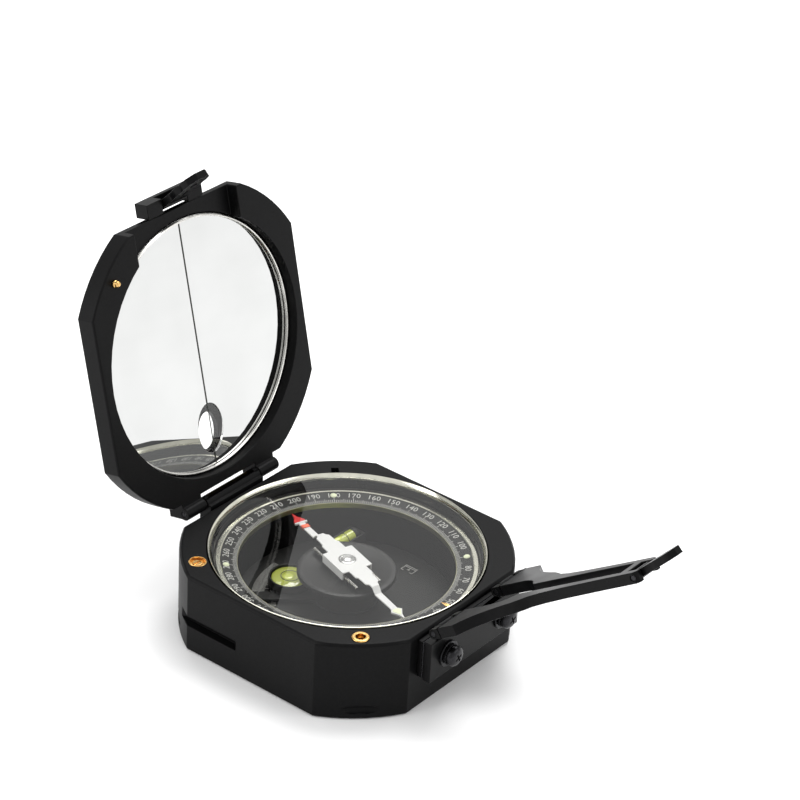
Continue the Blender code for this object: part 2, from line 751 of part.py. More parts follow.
def build_mirror(at, turn):
    """The mirror, the clear pane in its window, its snap ring and the stud."""
    back = MIRROR_FACE + MIRROR_T
    glass = disc(MIRROR_POCKET_R - 0.3, MIRROR_FACE, back, 56, (0.0, LID_MID))
    mirror = solid("mirror", glass, "mirror", at, turn)
    combine(mirror, [oval(WINDOW_V, WINDOW_A, WINDOW_B, 0.0, 9.0)])
    pane = oval(WINDOW_V, WINDOW_A - 0.1, WINDOW_B - 0.1, MIRROR_FACE, back)
    solid("sighting_pane", pane, "clear_glass", at, turn)
    ring = [(32.6, 2.55), (33.35, 2.55), (33.35, 3.3), (32.6, 3.3)]
    solid("mirror_ring", lathe(ring, 48, (0.0, LID_MID)), "bright_steel", at, turn)
    stud = [(0.5, -1.6), (0.8, -1.3), (0.8, -0.8), (1.0, -0.6), (1.0, -0.1), (0.65, -0.1), (0.65, 2.6)]
    solid("lid_stud", moved(round_body(stud, 14), (STUD_X, STUD_V)), "brass", at, turn)


def build_peep(at, turn):
    """The block on the lid's far edge and the leaf that folds in it."""
    near = LID_MID + HALF + 0.1
    far = PEEP_V + 1.9
    top = 7.6
    body = box((-9.8, near, RECESS_DEPTH + 0.05), (9.8, far, top))
    block = solid("peep_block", body, "black_paint", at, turn)
    notch = box((-PEEP_HALF - 0.3, near - 1.0, 0.0), (PEEP_HALF + 0.3, far + 2.0, 9.0))
    combine(block, [notch])
    bridge = box((-PEEP_HALF - 1.0, near, top - 1.3), (PEEP_HALF + 1.0, far, top))
    combine(block, [bridge], "UNION")
    combine(block, [along_x(PIN_HOLE_R, -8.0, 8.0, PEEP_V, PEEP_W, 16)])
    pin = along_x(PIN_R, -7.8, 7.8, PEEP_V, PEEP_W, 16)
    solid("peep_pin", pin, "dark_steel", at, turn)
    y = HINGE_Y + PEEP_V * math.cos(LID_OPEN) - PEEP_W * math.sin(LID_OPEN)
    z = HINGE_Z + PEEP_V * math.sin(LID_OPEN) + PEEP_W * math.cos(LID_OPEN)
    lean = Matrix.Rotation(LID_OPEN - PEEP_RAISED, 4, "X")
    leaf = sight_leaf("peep_leaf", PEEP_HALF, 14.0, PEEP_T, (0.0, y, z), lean)
    hole = disc(1.1, -3.0, 3.0, 16, (0.0, 9.4))
    slit = box((-0.4, 3.6, -3.0), (0.4, 6.9, 3.0))
    combine(leaf, [hole, slit])


def build_hinge():
    """The lug on the case, its two screws and the hinge pin."""
    body = box((-LUG_HALF, HINGE_Y - 1.2, 15.6), (LUG_HALF, -HALF - 0.1, 22.6))
    lug = solid("hinge_lug", body, "black_paint")
    combine(lug, [along_x(BARREL_R, -LUG_HALF, LUG_HALF, HINGE_Y, HINGE_Z, 20)], "UNION")
    trough = box((-8.6, HINGE_Y - 0.95, 22.1), (8.6, HINGE_Y + 0.95, 26.0))
    bore = along_x(PIN_HOLE_R, -LUG_HALF - 1, LUG_HALF + 1, HINGE_Y, HINGE_Z, 16)
    combine(lug, [bore, trough])
    combine(lug, [along_y(0.9, -43.0, -35.0, s * LUG_SCREW_X, LUG_SCREW_Z, 12) for s in (-1, 1)])
    place = Matrix.Rotation(math.radians(90.0), 4, "X")
    for number, side in ((1, 1), (2, -1)):
        bm = round_body([(0.8, 0.0), (0.8, 5.2), (1.3, 5.2), (1.3, 6.0)], 14)
        at = (side * LUG_SCREW_X, HINGE_Y + 3.85, LUG_SCREW_Z)
        screw = solid(f"lug_screw_{number}", bm, "dark_steel", at, place)
        combine(screw, [box((-2, -0.2, 5.6), (2, 0.2, 7.0))])
    pin_half = BARREL_HALF - 0.1
    pin = solid("hinge_pin", along_x(PIN_R, -pin_half, pin_half, HINGE_Y, HINGE_Z, 16), "brass")
    slot = box((pin_half - 0.5, HINGE_Y - 0.15, 20.0), (pin_half + 1.1, HINGE_Y + 0.15, 25.0))
    combine(pin, [slot])


def clear():
    """An empty scene."""
    for made in list(bpy.data.objects):
        bpy.data.objects.remove(made)


def main():
    clear()
    build_case()
    build_glazing()
    build_dial()
    build_lift()
    build_clinometer()
    build_needle()
    build_bracket()
    build_arm()
    build_lid()


main()
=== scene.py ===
"""Finish of a pocket sighting compass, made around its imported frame.

Each operator makes one piece or one group of like pieces, in place. The panel
in the 3D view's sidebar lists them in the order in which the script runs them.
"""

import json
import math

import bmesh
import bpy
from mathutils import Matrix, Vector


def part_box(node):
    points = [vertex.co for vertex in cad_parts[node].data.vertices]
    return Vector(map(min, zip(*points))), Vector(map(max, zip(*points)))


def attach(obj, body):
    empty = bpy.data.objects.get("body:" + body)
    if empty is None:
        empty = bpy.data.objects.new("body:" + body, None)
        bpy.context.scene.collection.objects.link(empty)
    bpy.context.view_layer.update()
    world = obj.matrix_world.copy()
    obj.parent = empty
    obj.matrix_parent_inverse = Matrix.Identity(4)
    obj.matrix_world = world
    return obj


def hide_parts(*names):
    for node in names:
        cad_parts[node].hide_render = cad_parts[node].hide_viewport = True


bl_info = {
    "name": "Sighting Compass",
    "version": (1, 0, 0),
    "blender": (4, 5, 0),
    "location": "3D View > Sidebar > Compass",
    "description": "Makes the finish of a pocket sighting compass around its frame",
    "category": "Object",
}

MM = 0.001
MERGE = 1e-6
FULL_TURN = 2.0 * math.pi

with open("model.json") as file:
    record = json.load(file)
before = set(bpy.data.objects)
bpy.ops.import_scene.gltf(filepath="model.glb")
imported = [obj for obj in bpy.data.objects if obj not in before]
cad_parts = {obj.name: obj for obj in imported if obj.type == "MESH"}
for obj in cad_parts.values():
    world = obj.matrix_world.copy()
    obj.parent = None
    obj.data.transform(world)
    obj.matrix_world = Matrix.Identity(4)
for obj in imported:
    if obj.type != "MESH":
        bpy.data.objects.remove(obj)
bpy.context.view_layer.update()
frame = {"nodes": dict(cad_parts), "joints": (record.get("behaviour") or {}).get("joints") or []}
JOINTS = {joint["name"]: joint for joint in frame["joints"]}


# ---------------------------------------------------------------- placing


def joint_turn(name):
    """How far a joint stands above the low end of its range, in radians."""
    return -math.radians(JOINTS[name]["range_deg"][0])


def place_at(point, turn=0.0, axis="X"):
    """A place at a point in metres, turned about one axis."""
    return Matrix.Translation(point) @ Matrix.Rotation(turn, 4, axis)


def joint_point(name):
    """Where a joint's axis passes, in metres."""
    return Vector(JOINTS[name]["pos_m"])


def centre_of(node):
    """The middle of a node's box, in metres."""
    low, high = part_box(node)
    return (low + high) / 2.0


def turned_sizes(node):
    """Outer radius, bottom and top of a node round the middle axis, in millimetres."""
    low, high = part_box(node)
    return high.x / MM, low.z / MM, high.z / MM


def small_sizes(node):
    """Outer radius, bottom and top of a round node anywhere, in millimetres."""
    low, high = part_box(node)
    return (high.x - low.x) / 2.0 / MM, low.z / MM, high.z / MM


# The lid's own space has Y along the lid and Z from its inner to its outer face.
LID = place_at(joint_point("lid_hinge"), joint_turn("lid_hinge"))
NEEDLE_HEADING = math.radians(71.8)
NEEDLE = place_at(joint_point("needle_spin"), NEEDLE_HEADING, "Z")


# ------------------------------------------------------------- properties


class FinishSettings(bpy.types.PropertyGroup):
    """Colours and edge softness of every finish."""

    enamel: bpy.props.FloatVectorProperty(
        name="Enamel", description="Satin coating of the castings", subtype="COLOR",
        size=3, min=0.0, max=1.0, default=(0.0032, 0.0032, 0.0034))
    dial: bpy.props.FloatVectorProperty(
        name="Dial", description="Matt coating under the glass", subtype="COLOR",
        size=3, min=0.0, max=1.0, default=(0.016, 0.016, 0.0155))
    ink: bpy.props.FloatVectorProperty(
        name="Ink", description="Printed marks of the dial", subtype="COLOR",
        size=3, min=0.0, max=1.0, default=(0.50, 0.50, 0.47))
    nickel: bpy.props.FloatVectorProperty(
        name="Nickel", description="Bright rings and caps", subtype="COLOR",
        size=3, min=0.0, max=1.0, default=(0.80, 0.79, 0.68))
    brass: bpy.props.FloatVectorProperty(
        name="Brass", description="Turned bushes and pins", subtype="COLOR",
        size=3, min=0.0, max=1.0, default=(0.76, 0.47, 0.17))
    spirit: bpy.props.FloatVectorProperty(
        name="Spirit", description="Filling of both levels", subtype="COLOR",
        size=3, min=0.0, max=1.0, default=(0.50, 0.56, 0.10))
    lume: bpy.props.FloatVectorProperty(
        name="Luminous paint", description="Dots and arrow of the dial", subtype="COLOR",
        size=3, min=0.0, max=1.0, default=(0.74, 0.78, 0.55))
    pointer_red: bpy.props.FloatVectorProperty(
        name="Red", description="Marked end of the needle", subtype="COLOR",
        size=3, min=0.0, max=1.0, default=(0.60, 0.012, 0.012))
    edge: bpy.props.FloatProperty(
        name="Edge", description="Rounding of a casting's edges", subtype="DISTANCE",
        unit="LENGTH", min=0.0, default=0.22 * MM)
    fine_edge: bpy.props.FloatProperty(
        name="Fine edge", description="Rounding of a small part's edges",
        subtype="DISTANCE", unit="LENGTH", min=0.0, default=0.09 * MM)


class DialSettings(bpy.types.PropertyGroup):
    """The graduated ring and the scale plate."""

    zero: bpy.props.FloatProperty(
        name="Zero", description="Where the ring's zero stands", subtype="ANGLE",
        unit="ROTATION", default=math.radians(46.5))
    numeral: bpy.props.FloatProperty(
        name="Numeral height", description="Height of the ring's numerals",
        subtype="DISTANCE", unit="LENGTH", min=0.0, default=1.62 * MM)
    line: bpy.props.FloatProperty(
        name="Line", description="Width of a graduation", subtype="DISTANCE",
        unit="LENGTH", min=0.0, default=0.13 * MM)
    relief: bpy.props.FloatProperty(
        name="Relief", description="Thickness of the printed ink", subtype="DISTANCE",
        unit="LENGTH", min=0.0, default=0.03 * MM)
    dot: bpy.props.FloatProperty(
        name="Dot", description="Radius of a luminous dot", subtype="DISTANCE",
        unit="LENGTH", min=0.0, default=0.85 * MM)


class StageSettings(bpy.types.PropertyGroup):
    """Camera, floor and lights."""

    eye: bpy.props.FloatVectorProperty(
        name="Camera", description="Where the camera stands", subtype="XYZ",
        unit="LENGTH", size=3, default=(0.48387, 0.38186, 0.42790))
    azimuth: bpy.props.FloatProperty(
        name="Azimuth", description="Heading of the camera round the object",
        subtype="ANGLE", unit="ROTATION", default=math.radians(127.27))
    elevation: bpy.props.FloatProperty(
        name="Elevation", description="How far the camera looks down",
        subtype="ANGLE", unit="ROTATION", default=math.radians(30.47))
    roll: bpy.props.FloatProperty(
        name="Roll", description="Tilt of the picture", subtype="ANGLE",
        unit="ROTATION", default=math.radians(3.27))
    lens: bpy.props.FloatProperty(
        name="Lens", description="Focal length in millimetres on a 36 mm sensor",
        subtype="DISTANCE_CAMERA", min=1.0, default=133.52)
    floor: bpy.props.FloatVectorProperty(
        name="Floor", description="Colour of the floor", subtype="COLOR", size=3,
        min=0.0, max=1.0, default=(0.93, 0.93, 0.93))
    sky: bpy.props.FloatProperty(
        name="Sky", description="Strength of the light from all round", min=0.0,
        default=0.85)


class CompassSettings(bpy.types.PropertyGroup):
    """Everything that a user would change."""

    finish: bpy.props.PointerProperty(type=FinishSettings)
    dial: bpy.props.PointerProperty(type=DialSettings)
    stage: bpy.props.PointerProperty(type=StageSettings)


def settings():
    """The scene's compass settings."""
    return bpy.context.scene.compass


# -------------------------------------------------------------- materials

GLASS_TINT = (0.985, 0.985, 0.98)
GLASS_INDEX = 1.72


def link(tree, source, target):
    """Join an output socket to an input socket."""
    tree.links.new(source, target)


def new_material(name):
    """A material with its Principled shader and its object coordinates."""
    made = bpy.data.materials.new(name)
    made.use_nodes = True
    tree = made.node_tree
    shader = tree.nodes["Principled BSDF"]
    coords = tree.nodes.new("ShaderNodeTexCoord")
    return made, tree, shader, coords.outputs["Object"]


def noise(tree, coords, scale, detail=3.0, distortion=0.0):
    """A noise pattern; the scale counts features in a metre."""
    made = tree.nodes.new("ShaderNodeTexNoise")
    made.inputs["Scale"].default_value = scale
    made.inputs["Detail"].default_value = detail
    made.inputs["Distortion"].default_value = distortion
    link(tree, coords, made.inputs["Vector"])
    return made.outputs["Fac"]


def spread(tree, value, low, high):
    """A noise value stretched over a range."""
    made = tree.nodes.new("ShaderNodeMapRange")
    made.inputs["From Min"].default_value = 0.3
    made.inputs["From Max"].default_value = 0.7
    made.inputs["To Min"].default_value = low
    made.inputs["To Max"].default_value = high
    link(tree, value, made.inputs["Value"])
    return made.outputs["Result"]


def tones(tree, value, dark, light):
    """Two colours mixed by a noise value."""
    made = tree.nodes.new("ShaderNodeMix")
    made.data_type = "RGBA"
    made.inputs["A"].default_value = (*dark, 1.0)
    made.inputs["B"].default_value = (*light, 1.0)
    link(tree, spread(tree, value, 0.0, 1.0), made.inputs["Factor"])
    return made.outputs["Result"]


def relief(tree, shader, value, depth):
    """A bump of a given depth in metres."""
    made = tree.nodes.new("ShaderNodeBump")
    made.inputs["Strength"].default_value = 1.0
    made.inputs["Distance"].default_value = depth
    link(tree, value, made.inputs["Height"])
    link(tree, made.outputs["Normal"], shader.inputs["Normal"])


def shaded(colour, factor):
    """A colour made lighter or darker."""
    return tuple(min(1.0, channel * factor) for channel in colour)


def coated(name, colour, rough, grain=1400.0, depth=0.012, specular=0.5, contrast=0.25):
    """Paint or coating: mottled tone, uneven gloss and a fine orange peel."""
    made, tree, shader, coords = new_material(name)
    fine = noise(tree, coords, grain, 4.0)
    broad = noise(tree, coords, 90.0, 2.0)
    low, high = shaded(colour, 1.0 - contrast), shaded(colour, 1.0 + contrast)
    link(tree, tones(tree, fine, low, high), shader.inputs["Base Color"])
    link(tree, spread(tree, broad, *rough), shader.inputs["Roughness"])
    shader.inputs["Specular IOR Level"].default_value = specular
    relief(tree, shader, fine, depth * MM)
    return made


def turned_metal(name, colour, rough, centre=(0.0, 0.0, 0.0), lines=2600.0):
    """Metal with fine tool marks running round an upright axis."""
    made, tree, shader, coords = new_material(name)
    shifted = tree.nodes.new("ShaderNodeMapping")
    shifted.inputs["Location"].default_value = [-value for value in centre]
    link(tree, coords, shifted.inputs["Vector"])
    parts = tree.nodes.new("ShaderNodeSeparateXYZ")
    link(tree, shifted.outputs["Vector"], parts.inputs["Vector"])
    flat = tree.nodes.new("ShaderNodeCombineXYZ")
    link(tree, parts.outputs["X"], flat.inputs["X"])
    link(tree, parts.outputs["Y"], flat.inputs["Y"])
    radius = tree.nodes.new("ShaderNodeVectorMath")
    radius.operation = "LENGTH"
    link(tree, flat.outputs["Vector"], radius.inputs[0])
    round_coords = tree.nodes.new("ShaderNodeCombineXYZ")
    link(tree, radius.outputs["Value"], round_coords.inputs["X"])
    link(tree, parts.outputs["Z"], round_coords.inputs["Z"])
    marks = noise(tree, round_coords.outputs["Vector"], lines, 3.0)
    smudge = noise(tree, coords, 260.0, 2.0)
    link(tree, tones(tree, smudge, shaded(colour, 0.86), shaded(colour, 1.06)),
         shader.inputs["Base Color"])
    link(tree, spread(tree, marks, *rough), shader.inputs["Roughness"])
    shader.inputs["Metallic"].default_value = 1.0
    relief(tree, shader, marks, 0.0012 * MM)
    return made


def drawn_metal(name, colour, rough, metallic=1.0, grain=900.0):
    """Metal or black-oxide steel with a fine even grain."""
    made, tree, shader, coords = new_material(name)
    fine = noise(tree, coords, grain, 4.0, 0.4)
    broad = noise(tree, coords, 150.0, 2.0)
    link(tree, tones(tree, broad, shaded(colour, 0.75), shaded(colour, 1.2)),
         shader.inputs["Base Color"])
    link(tree, spread(tree, fine, *rough), shader.inputs["Roughness"])
    shader.inputs["Metallic"].default_value = metallic
    shader.inputs["Specular IOR Level"].default_value = 0.5
    relief(tree, shader, fine, 0.008 * MM)
    return made


def window_glass(name):
    """A thin clear pane: it lets light straight through and mirrors by angle."""
    made, tree, shader, coords = new_material(name)
    clear = tree.nodes.new("ShaderNodeBsdfTransparent")
    clear.inputs["Color"].default_value = (*GLASS_TINT, 1.0)
    gloss = tree.nodes.new("ShaderNodeBsdfGlossy")
    link(tree, spread(tree, noise(tree, coords, 40.0, 2.0), 0.0, 0.012), gloss.inputs["Roughness"])
    facing = tree.nodes.new("ShaderNodeFresnel")
    facing.inputs["IOR"].default_value = GLASS_INDEX
    side = tree.nodes.new("ShaderNodeNewGeometry")
    front = tree.nodes.new("ShaderNodeMath")
    front.operation = "SUBTRACT"
    front.inputs[0].default_value = 1.0
    link(tree, side.outputs["Backfacing"], front.inputs[1])
    share = tree.nodes.new("ShaderNodeMath")
    share.operation = "MULTIPLY"
    link(tree, facing.outputs["Fac"], share.inputs[0])
    link(tree, front.outputs["Value"], share.inputs[1])
    both = tree.nodes.new("ShaderNodeMixShader")
    link(tree, share.outputs["Value"], both.inputs["Fac"])
    link(tree, clear.outputs["BSDF"], both.inputs[1])
    link(tree, gloss.outputs["BSDF"], both.inputs[2])
    link(tree, both.outputs["Shader"], tree.nodes["Material Output"].inputs["Surface"])
    tree.nodes.remove(shader)
    return made


def silvering(name):
    """Silvered glass: a clean mirror with the faintest haze."""
    made, tree, shader, coords = new_material(name)
    haze = noise(tree, coords, 60.0, 2.0)
    link(tree, tones(tree, haze, (0.56, 0.565, 0.56), (0.595, 0.60, 0.595)), shader.inputs["Base Color"])
    link(tree, spread(tree, haze, 0.004, 0.018), shader.inputs["Roughness"])
    shader.inputs["Metallic"].default_value = 1.0
    return made


def spirit(name, colour):
    """Tinted spirit behind polished glass, with painted shade that darkens it towards the edges."""
    made, tree, shader, coords = new_material(name)
    cloud = noise(tree, coords, 220.0, 2.0)
    # Painted shade: where the surface turns away from the camera, the colour is mixed towards a copy at 45
    # per cent, in place of the shade at the vial's rounded edges.
    edge = tree.nodes.new("ShaderNodeLayerWeight")
    edge.inputs["Blend"].default_value = 0.35
    painted_edge_shade = tree.nodes.new("ShaderNodeMix")
    painted_edge_shade.data_type = "RGBA"
    painted_edge_shade.inputs["B"].default_value = (*shaded(colour, 0.45), 1.0)
    link(tree, edge.outputs["Facing"], painted_edge_shade.inputs["Factor"])
    link(tree, tones(tree, cloud, shaded(colour, 0.93), shaded(colour, 1.07)), painted_edge_shade.inputs["A"])
    link(tree, painted_edge_shade.outputs["Result"], shader.inputs["Base Color"])
    link(tree, spread(tree, cloud, 0.04, 0.09), shader.inputs["Roughness"])
    shader.inputs["Coat Weight"].default_value = 1.0
    shader.inputs["Coat Roughness"].default_value = 0.03
    return made


MATERIALS = {}


def surface(name):
    """One of the compass's materials, made when it is first asked for."""
    if name in MATERIALS:
        return MATERIALS[name]
    tint = settings().finish
    makers = {
        "enamel": lambda: coated(name, tint.enamel, (0.38, 0.44), 1500.0, 0.006, 0.09),
        "arm enamel": lambda: coated(name, tint.enamel, (0.26, 0.34), 1100.0, 0.008, 0.10),
        "dial black": lambda: coated(name, tint.dial, (0.50, 0.62), 2200.0, 0.0015, 0.22, 0.1),
        "hub black": lambda: coated(name, tint.dial, (0.36, 0.5), 1800.0, 0.002, 0.3, 0.1),
        "ink": lambda: coated(name, tint.ink, (0.55, 0.70), 3500.0, 0.004, 0.3, 0.12),
        "grey ink": lambda: coated(name, shaded(tint.ink, 0.55), (0.55, 0.7), 3500.0, 0.004, 0.3, 0.15),
        "lume": lambda: coated(name, tint.lume, (0.55, 0.75), 5200.0, 0.03, 0.3, 0.10),
        "needle white": lambda: coated(name, (0.66, 0.66, 0.65), (0.34, 0.46), 1500.0, 0.003, 0.5, 0.03),
        "needle red": lambda: coated(name, tint.pointer_red, (0.28, 0.4), 2400.0, 0.006, 0.5, 0.12),
        "winding": lambda: drawn_metal(name, (0.55, 0.10, 0.05), (0.25, 0.4), 0.8),
        "bare ring": lambda: turned_metal(name, (0.46, 0.45, 0.30), (0.30, 0.45)),
        "nickel": lambda: turned_metal(name, tint.nickel, (0.13, 0.19)),
        "bright rod": lambda: drawn_metal(name, (0.62, 0.61, 0.58), (0.18, 0.34)),
        "cap": lambda: turned_metal(name, (0.72, 0.72, 0.71), (0.10, 0.22)),
        "dark steel": lambda: drawn_metal(name, (0.024, 0.024, 0.026), (0.20, 0.34), 0.85),
        "hinge brass": lambda: drawn_metal(name, tint.brass, (0.20, 0.36), 1.0, 1600.0),
        "clear glass": lambda: window_glass(name),
        "mirror": lambda: silvering(name),
        "spirit": lambda: spirit(name, tint.spirit),
        "bubble": lambda: spirit(name, shaded(tint.spirit, 1.5)),
        "level line": lambda: coated(name, (0.012, 0.014, 0.008), (0.3, 0.4), 3000.0, 0.004),
    }
    MATERIALS[name] = makers[name]()
    return MATERIALS[name]


def turned_brass(node):
    """Brass whose tool marks run round one small part's own axis."""
    name = f"brass of {node}"
    if name not in MATERIALS:
        MATERIALS[name] = turned_metal(name, settings().finish.brass, (0.14, 0.30),
                                       centre_of(node), 5200.0)
    return MATERIALS[name]


# --------------------------------------------------------------- modelling

SHARP_ANGLE = math.radians(30.0)
FLAT_ANGLE = math.radians(0.6)
CAPITAL_SHARE = 0.70


def soften(bm, width, segments=2, shortest=0.0):
    """Round every sharp edge that is longer than a length."""
    paired = [edge for edge in bm.edges if len(edge.link_faces) == 2]
    sharp = [edge for edge in paired
             if edge.calc_face_angle(0.0) > SHARP_ANGLE and edge.calc_length() > shortest]
    bmesh.ops.bevel(bm, geom=sharp, offset=width, offset_type="OFFSET", segments=segments,
                    profile=0.5, affect="EDGES", clamp_overlap=False, material=-1)
    return bm


def node_copy(node):
    """A frame node's shape, merged, with its flat faces whole again."""
    bm = bmesh.new()
    bm.from_mesh(frame["nodes"][node].data)
    bmesh.ops.remove_doubles(bm, verts=bm.verts, dist=MERGE)
    bmesh.ops.dissolve_limit(bm, angle_limit=FLAT_ANGLE, verts=bm.verts, edges=bm.edges)
    return bm


def turned(profile, steps=64, place=None, closed=False):
    """A (radius, height) profile in millimetres, turned about its upright axis."""
    bm = bmesh.new()
    points = [bm.verts.new((radius * MM, 0.0, height * MM)) for radius, height in profile]
    lines = [bm.edges.new(pair) for pair in zip(points, points[1:])]
    if closed:
        lines.append(bm.edges.new((points[-1], points[0])))
    bmesh.ops.spin(bm, geom=points + lines, cent=(0, 0, 0), axis=(0, 0, 1), angle=FULL_TURN,
                   steps=steps, use_merge=True)
    bmesh.ops.remove_doubles(bm, verts=bm.verts, dist=MERGE / 10)
    bmesh.ops.recalc_face_normals(bm, faces=bm.faces)
    bmesh.ops.transform(bm, matrix=place or Matrix.Identity(4), verts=bm.verts)
    return bm


def plate_shape(outline, low, high):
    """A flat outline in millimetres, thickened."""
    bm = bmesh.new()
    bm.faces.new([bm.verts.new((x * MM, y * MM, low * MM)) for x, y in outline])
    grown = bmesh.ops.extrude_face_region(bm, geom=bm.faces[:])
    top = [item for item in grown["geom"] if isinstance(item, bmesh.types.BMVert)]
    bmesh.ops.translate(bm, vec=(0, 0, (high - low) * MM), verts=top)
    bmesh.ops.recalc_face_normals(bm, faces=bm.faces)
    return bm


def add_bar(bm, start, end, width, low, high, place=None):
    """A thin straight bar between two points of a plane, in millimetres."""
    start, end = Vector(start), Vector(end)
    along = end - start
    middle = (start + end) / 2.0
    spot = Matrix.Translation((middle.x * MM, middle.y * MM, (low + high) * MM / 2))
    turn = Matrix.Rotation(math.atan2(along.y, along.x), 4, "Z")
    size = Matrix.Diagonal((along.length * MM, width * MM, (high - low) * MM, 1.0))
    whole = (place or Matrix.Identity(4)) @ spot @ turn @ size
    bmesh.ops.create_cube(bm, size=1.0, matrix=whole)


def join_mesh(bm, mesh, place):
    """Add a mesh to a bmesh at a place."""
    mesh.transform(place)
    bm.from_mesh(mesh)
    bpy.data.meshes.remove(mesh)


def lettering(text, height):
    """Flat lettering of a given height, centred on the origin."""
    curve = bpy.data.curves.new(text, "FONT")
    curve.body = text
    curve.size = height / CAPITAL_SHARE
    curve.align_x = "CENTER"
    curve.align_y = "CENTER"
    curve.space_character = 1.04
    curve.resolution_u = 3
    curve.extrude = settings().dial.relief / 2
    holder = bpy.data.objects.new(text, curve)
    bpy.context.scene.collection.objects.link(holder)
    graph = bpy.context.evaluated_depsgraph_get()
    mesh = bpy.data.meshes.new_from_object(holder.evaluated_get(graph))
    bpy.data.objects.remove(holder)
    bpy.data.curves.remove(curve)
    return mesh


def carve(bm, cutter):
    """The first shape with the second one cut away."""
    holders = []
    for name, shape in (("carved", bm), ("cutter", cutter)):
        mesh = bpy.data.meshes.new(name)
        shape.to_mesh(mesh)
        shape.free()
        made = bpy.data.objects.new(name, mesh)
        bpy.context.scene.collection.objects.link(made)
        holders.append(made)
    step = holders[0].modifiers.new("carve", "BOOLEAN")
    step.object = holders[1]
    step.solver = "EXACT"
    graph = bpy.context.evaluated_depsgraph_get()
    cut = bpy.data.meshes.new_from_object(holders[0].evaluated_get(graph))
    result = bmesh.new()
    result.from_mesh(cut)
    bpy.data.meshes.remove(cut)
    for made in holders:
        mesh = made.data
        bpy.data.objects.remove(made)
        bpy.data.meshes.remove(mesh)
    return result


def piece(name, bm, material, body, nodes=(), smooth=35.0, weighted=False):
    """A finished piece that rides on a body and may stand for frame nodes."""
    mesh = bpy.data.meshes.new(name)
    bm.to_mesh(mesh)
    bm.free()
    mesh.shade_smooth()
    mesh.set_sharp_from_angle(angle=math.radians(smooth))
    mesh.materials.append(material)
    made = bpy.data.objects.new(name, mesh)
    bpy.context.scene.collection.objects.link(made)
    if weighted:
        made.modifiers.new("Even normals", "WEIGHTED_NORMAL").keep_sharp = True
    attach(made, body)
    if nodes:
        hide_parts(*nodes)
    return made


def refine(node, material, body, width=None, segments=2, shortest=0.0):
    """Stand a softened copy in for one frame node."""
    size = settings().finish.fine_edge if width is None else width
    bm = soften(node_copy(node), size, segments, shortest=shortest)
    return piece(f"{node}_finish", bm, material, body, (node,), weighted=True)


# --------------------------------------------------------------- the case


class COMPASS_OT_case(bpy.types.Operator):
    """Round the edges of the cast case and coat it"""

    bl_idname = "compass.case"
    bl_label = "Case"

    def execute(self, context):
        edge = context.scene.compass.finish.edge
        refine("case_shell", surface("enamel"), "case", edge, 3, 2.2 * MM)
        refine("clinometer_lever", surface("enamel"), "clinometer")
        return {"FINISHED"}


class COMPASS_OT_glazing(bpy.types.Operator):
    """Make the bezel, the spacer below the glass and the glass"""

    bl_idname = "compass.glazing"
    bl_label = "Glazing"

    def execute(self, context):
        outer, bottom, top = turned_sizes("bezel_ring")
        inner = outer - 0.75
        profile = [(outer, bottom), (outer, top - 0.12), (outer - 0.06, top - 0.02), (outer - 0.14, top),
                   (outer - 0.22, top - 0.06), (inner, top - 1.1), (inner, bottom)]
        piece("bezel_ring_finish", turned(profile, 192, closed=True), surface("nickel"), "case",
              ("bezel_ring",))
        outer, bottom, top = turned_sizes("glass_spacer")
        inner = outer - 1.6
        profile = [(outer, bottom), (outer, top), (inner + 0.3, top), (inner, top - 0.3),
                   (inner, bottom + 0.3), (inner + 0.3, bottom)]
        spacer = turned(profile, 160, closed=True)
        piece("glass_spacer_finish", spacer, surface("arm enamel"), "case",
              ("glass_spacer",))
        outer, bottom, top = turned_sizes("glass_crystal")
        profile = [(0.0, bottom), (outer - 0.15, bottom), (outer, bottom + 0.15), (outer, top - 0.15),
                   (outer - 0.15, top), (0.0, top)]
        glass = turned(profile, 128)
        piece("glass_crystal_finish", glass, surface("clear glass"), "case",
              ("glass_crystal",))
        return {"FINISHED"}


# --------------------------------------------------------------- the dial

RING_INNER = 27.3
WALL_THICK = 0.14
BAND_OUTER = 31.5
BAND_LOW = 17.7
BAND_HIGH = 18.3
BAND_SLOPE = math.atan2(BAND_HIGH - BAND_LOW, BAND_OUTER - RING_INNER)
NUMERAL_RADIUS = 30.15
DOT_RADIUS = 30.2
RIM_OUTER = 32.9
LONG_LINE, MIDDLE_LINE, SHORT_LINE = 1.75, 1.4, 1.05
BLANK_DEGREE = 90


def band_place(radius, angle, lift=0.0):
    """A place on the sloping number band, facing outwards."""
    height = BAND_LOW + (radius - RING_INNER) * math.tan(BAND_SLOPE) + lift
    spot = Matrix.Translation((radius * MM, 0.0, height * MM))
    lean = Matrix.Rotation(-BAND_SLOPE, 4, "Y")
    return Matrix.Rotation(angle, 4, "Z") @ spot @ lean


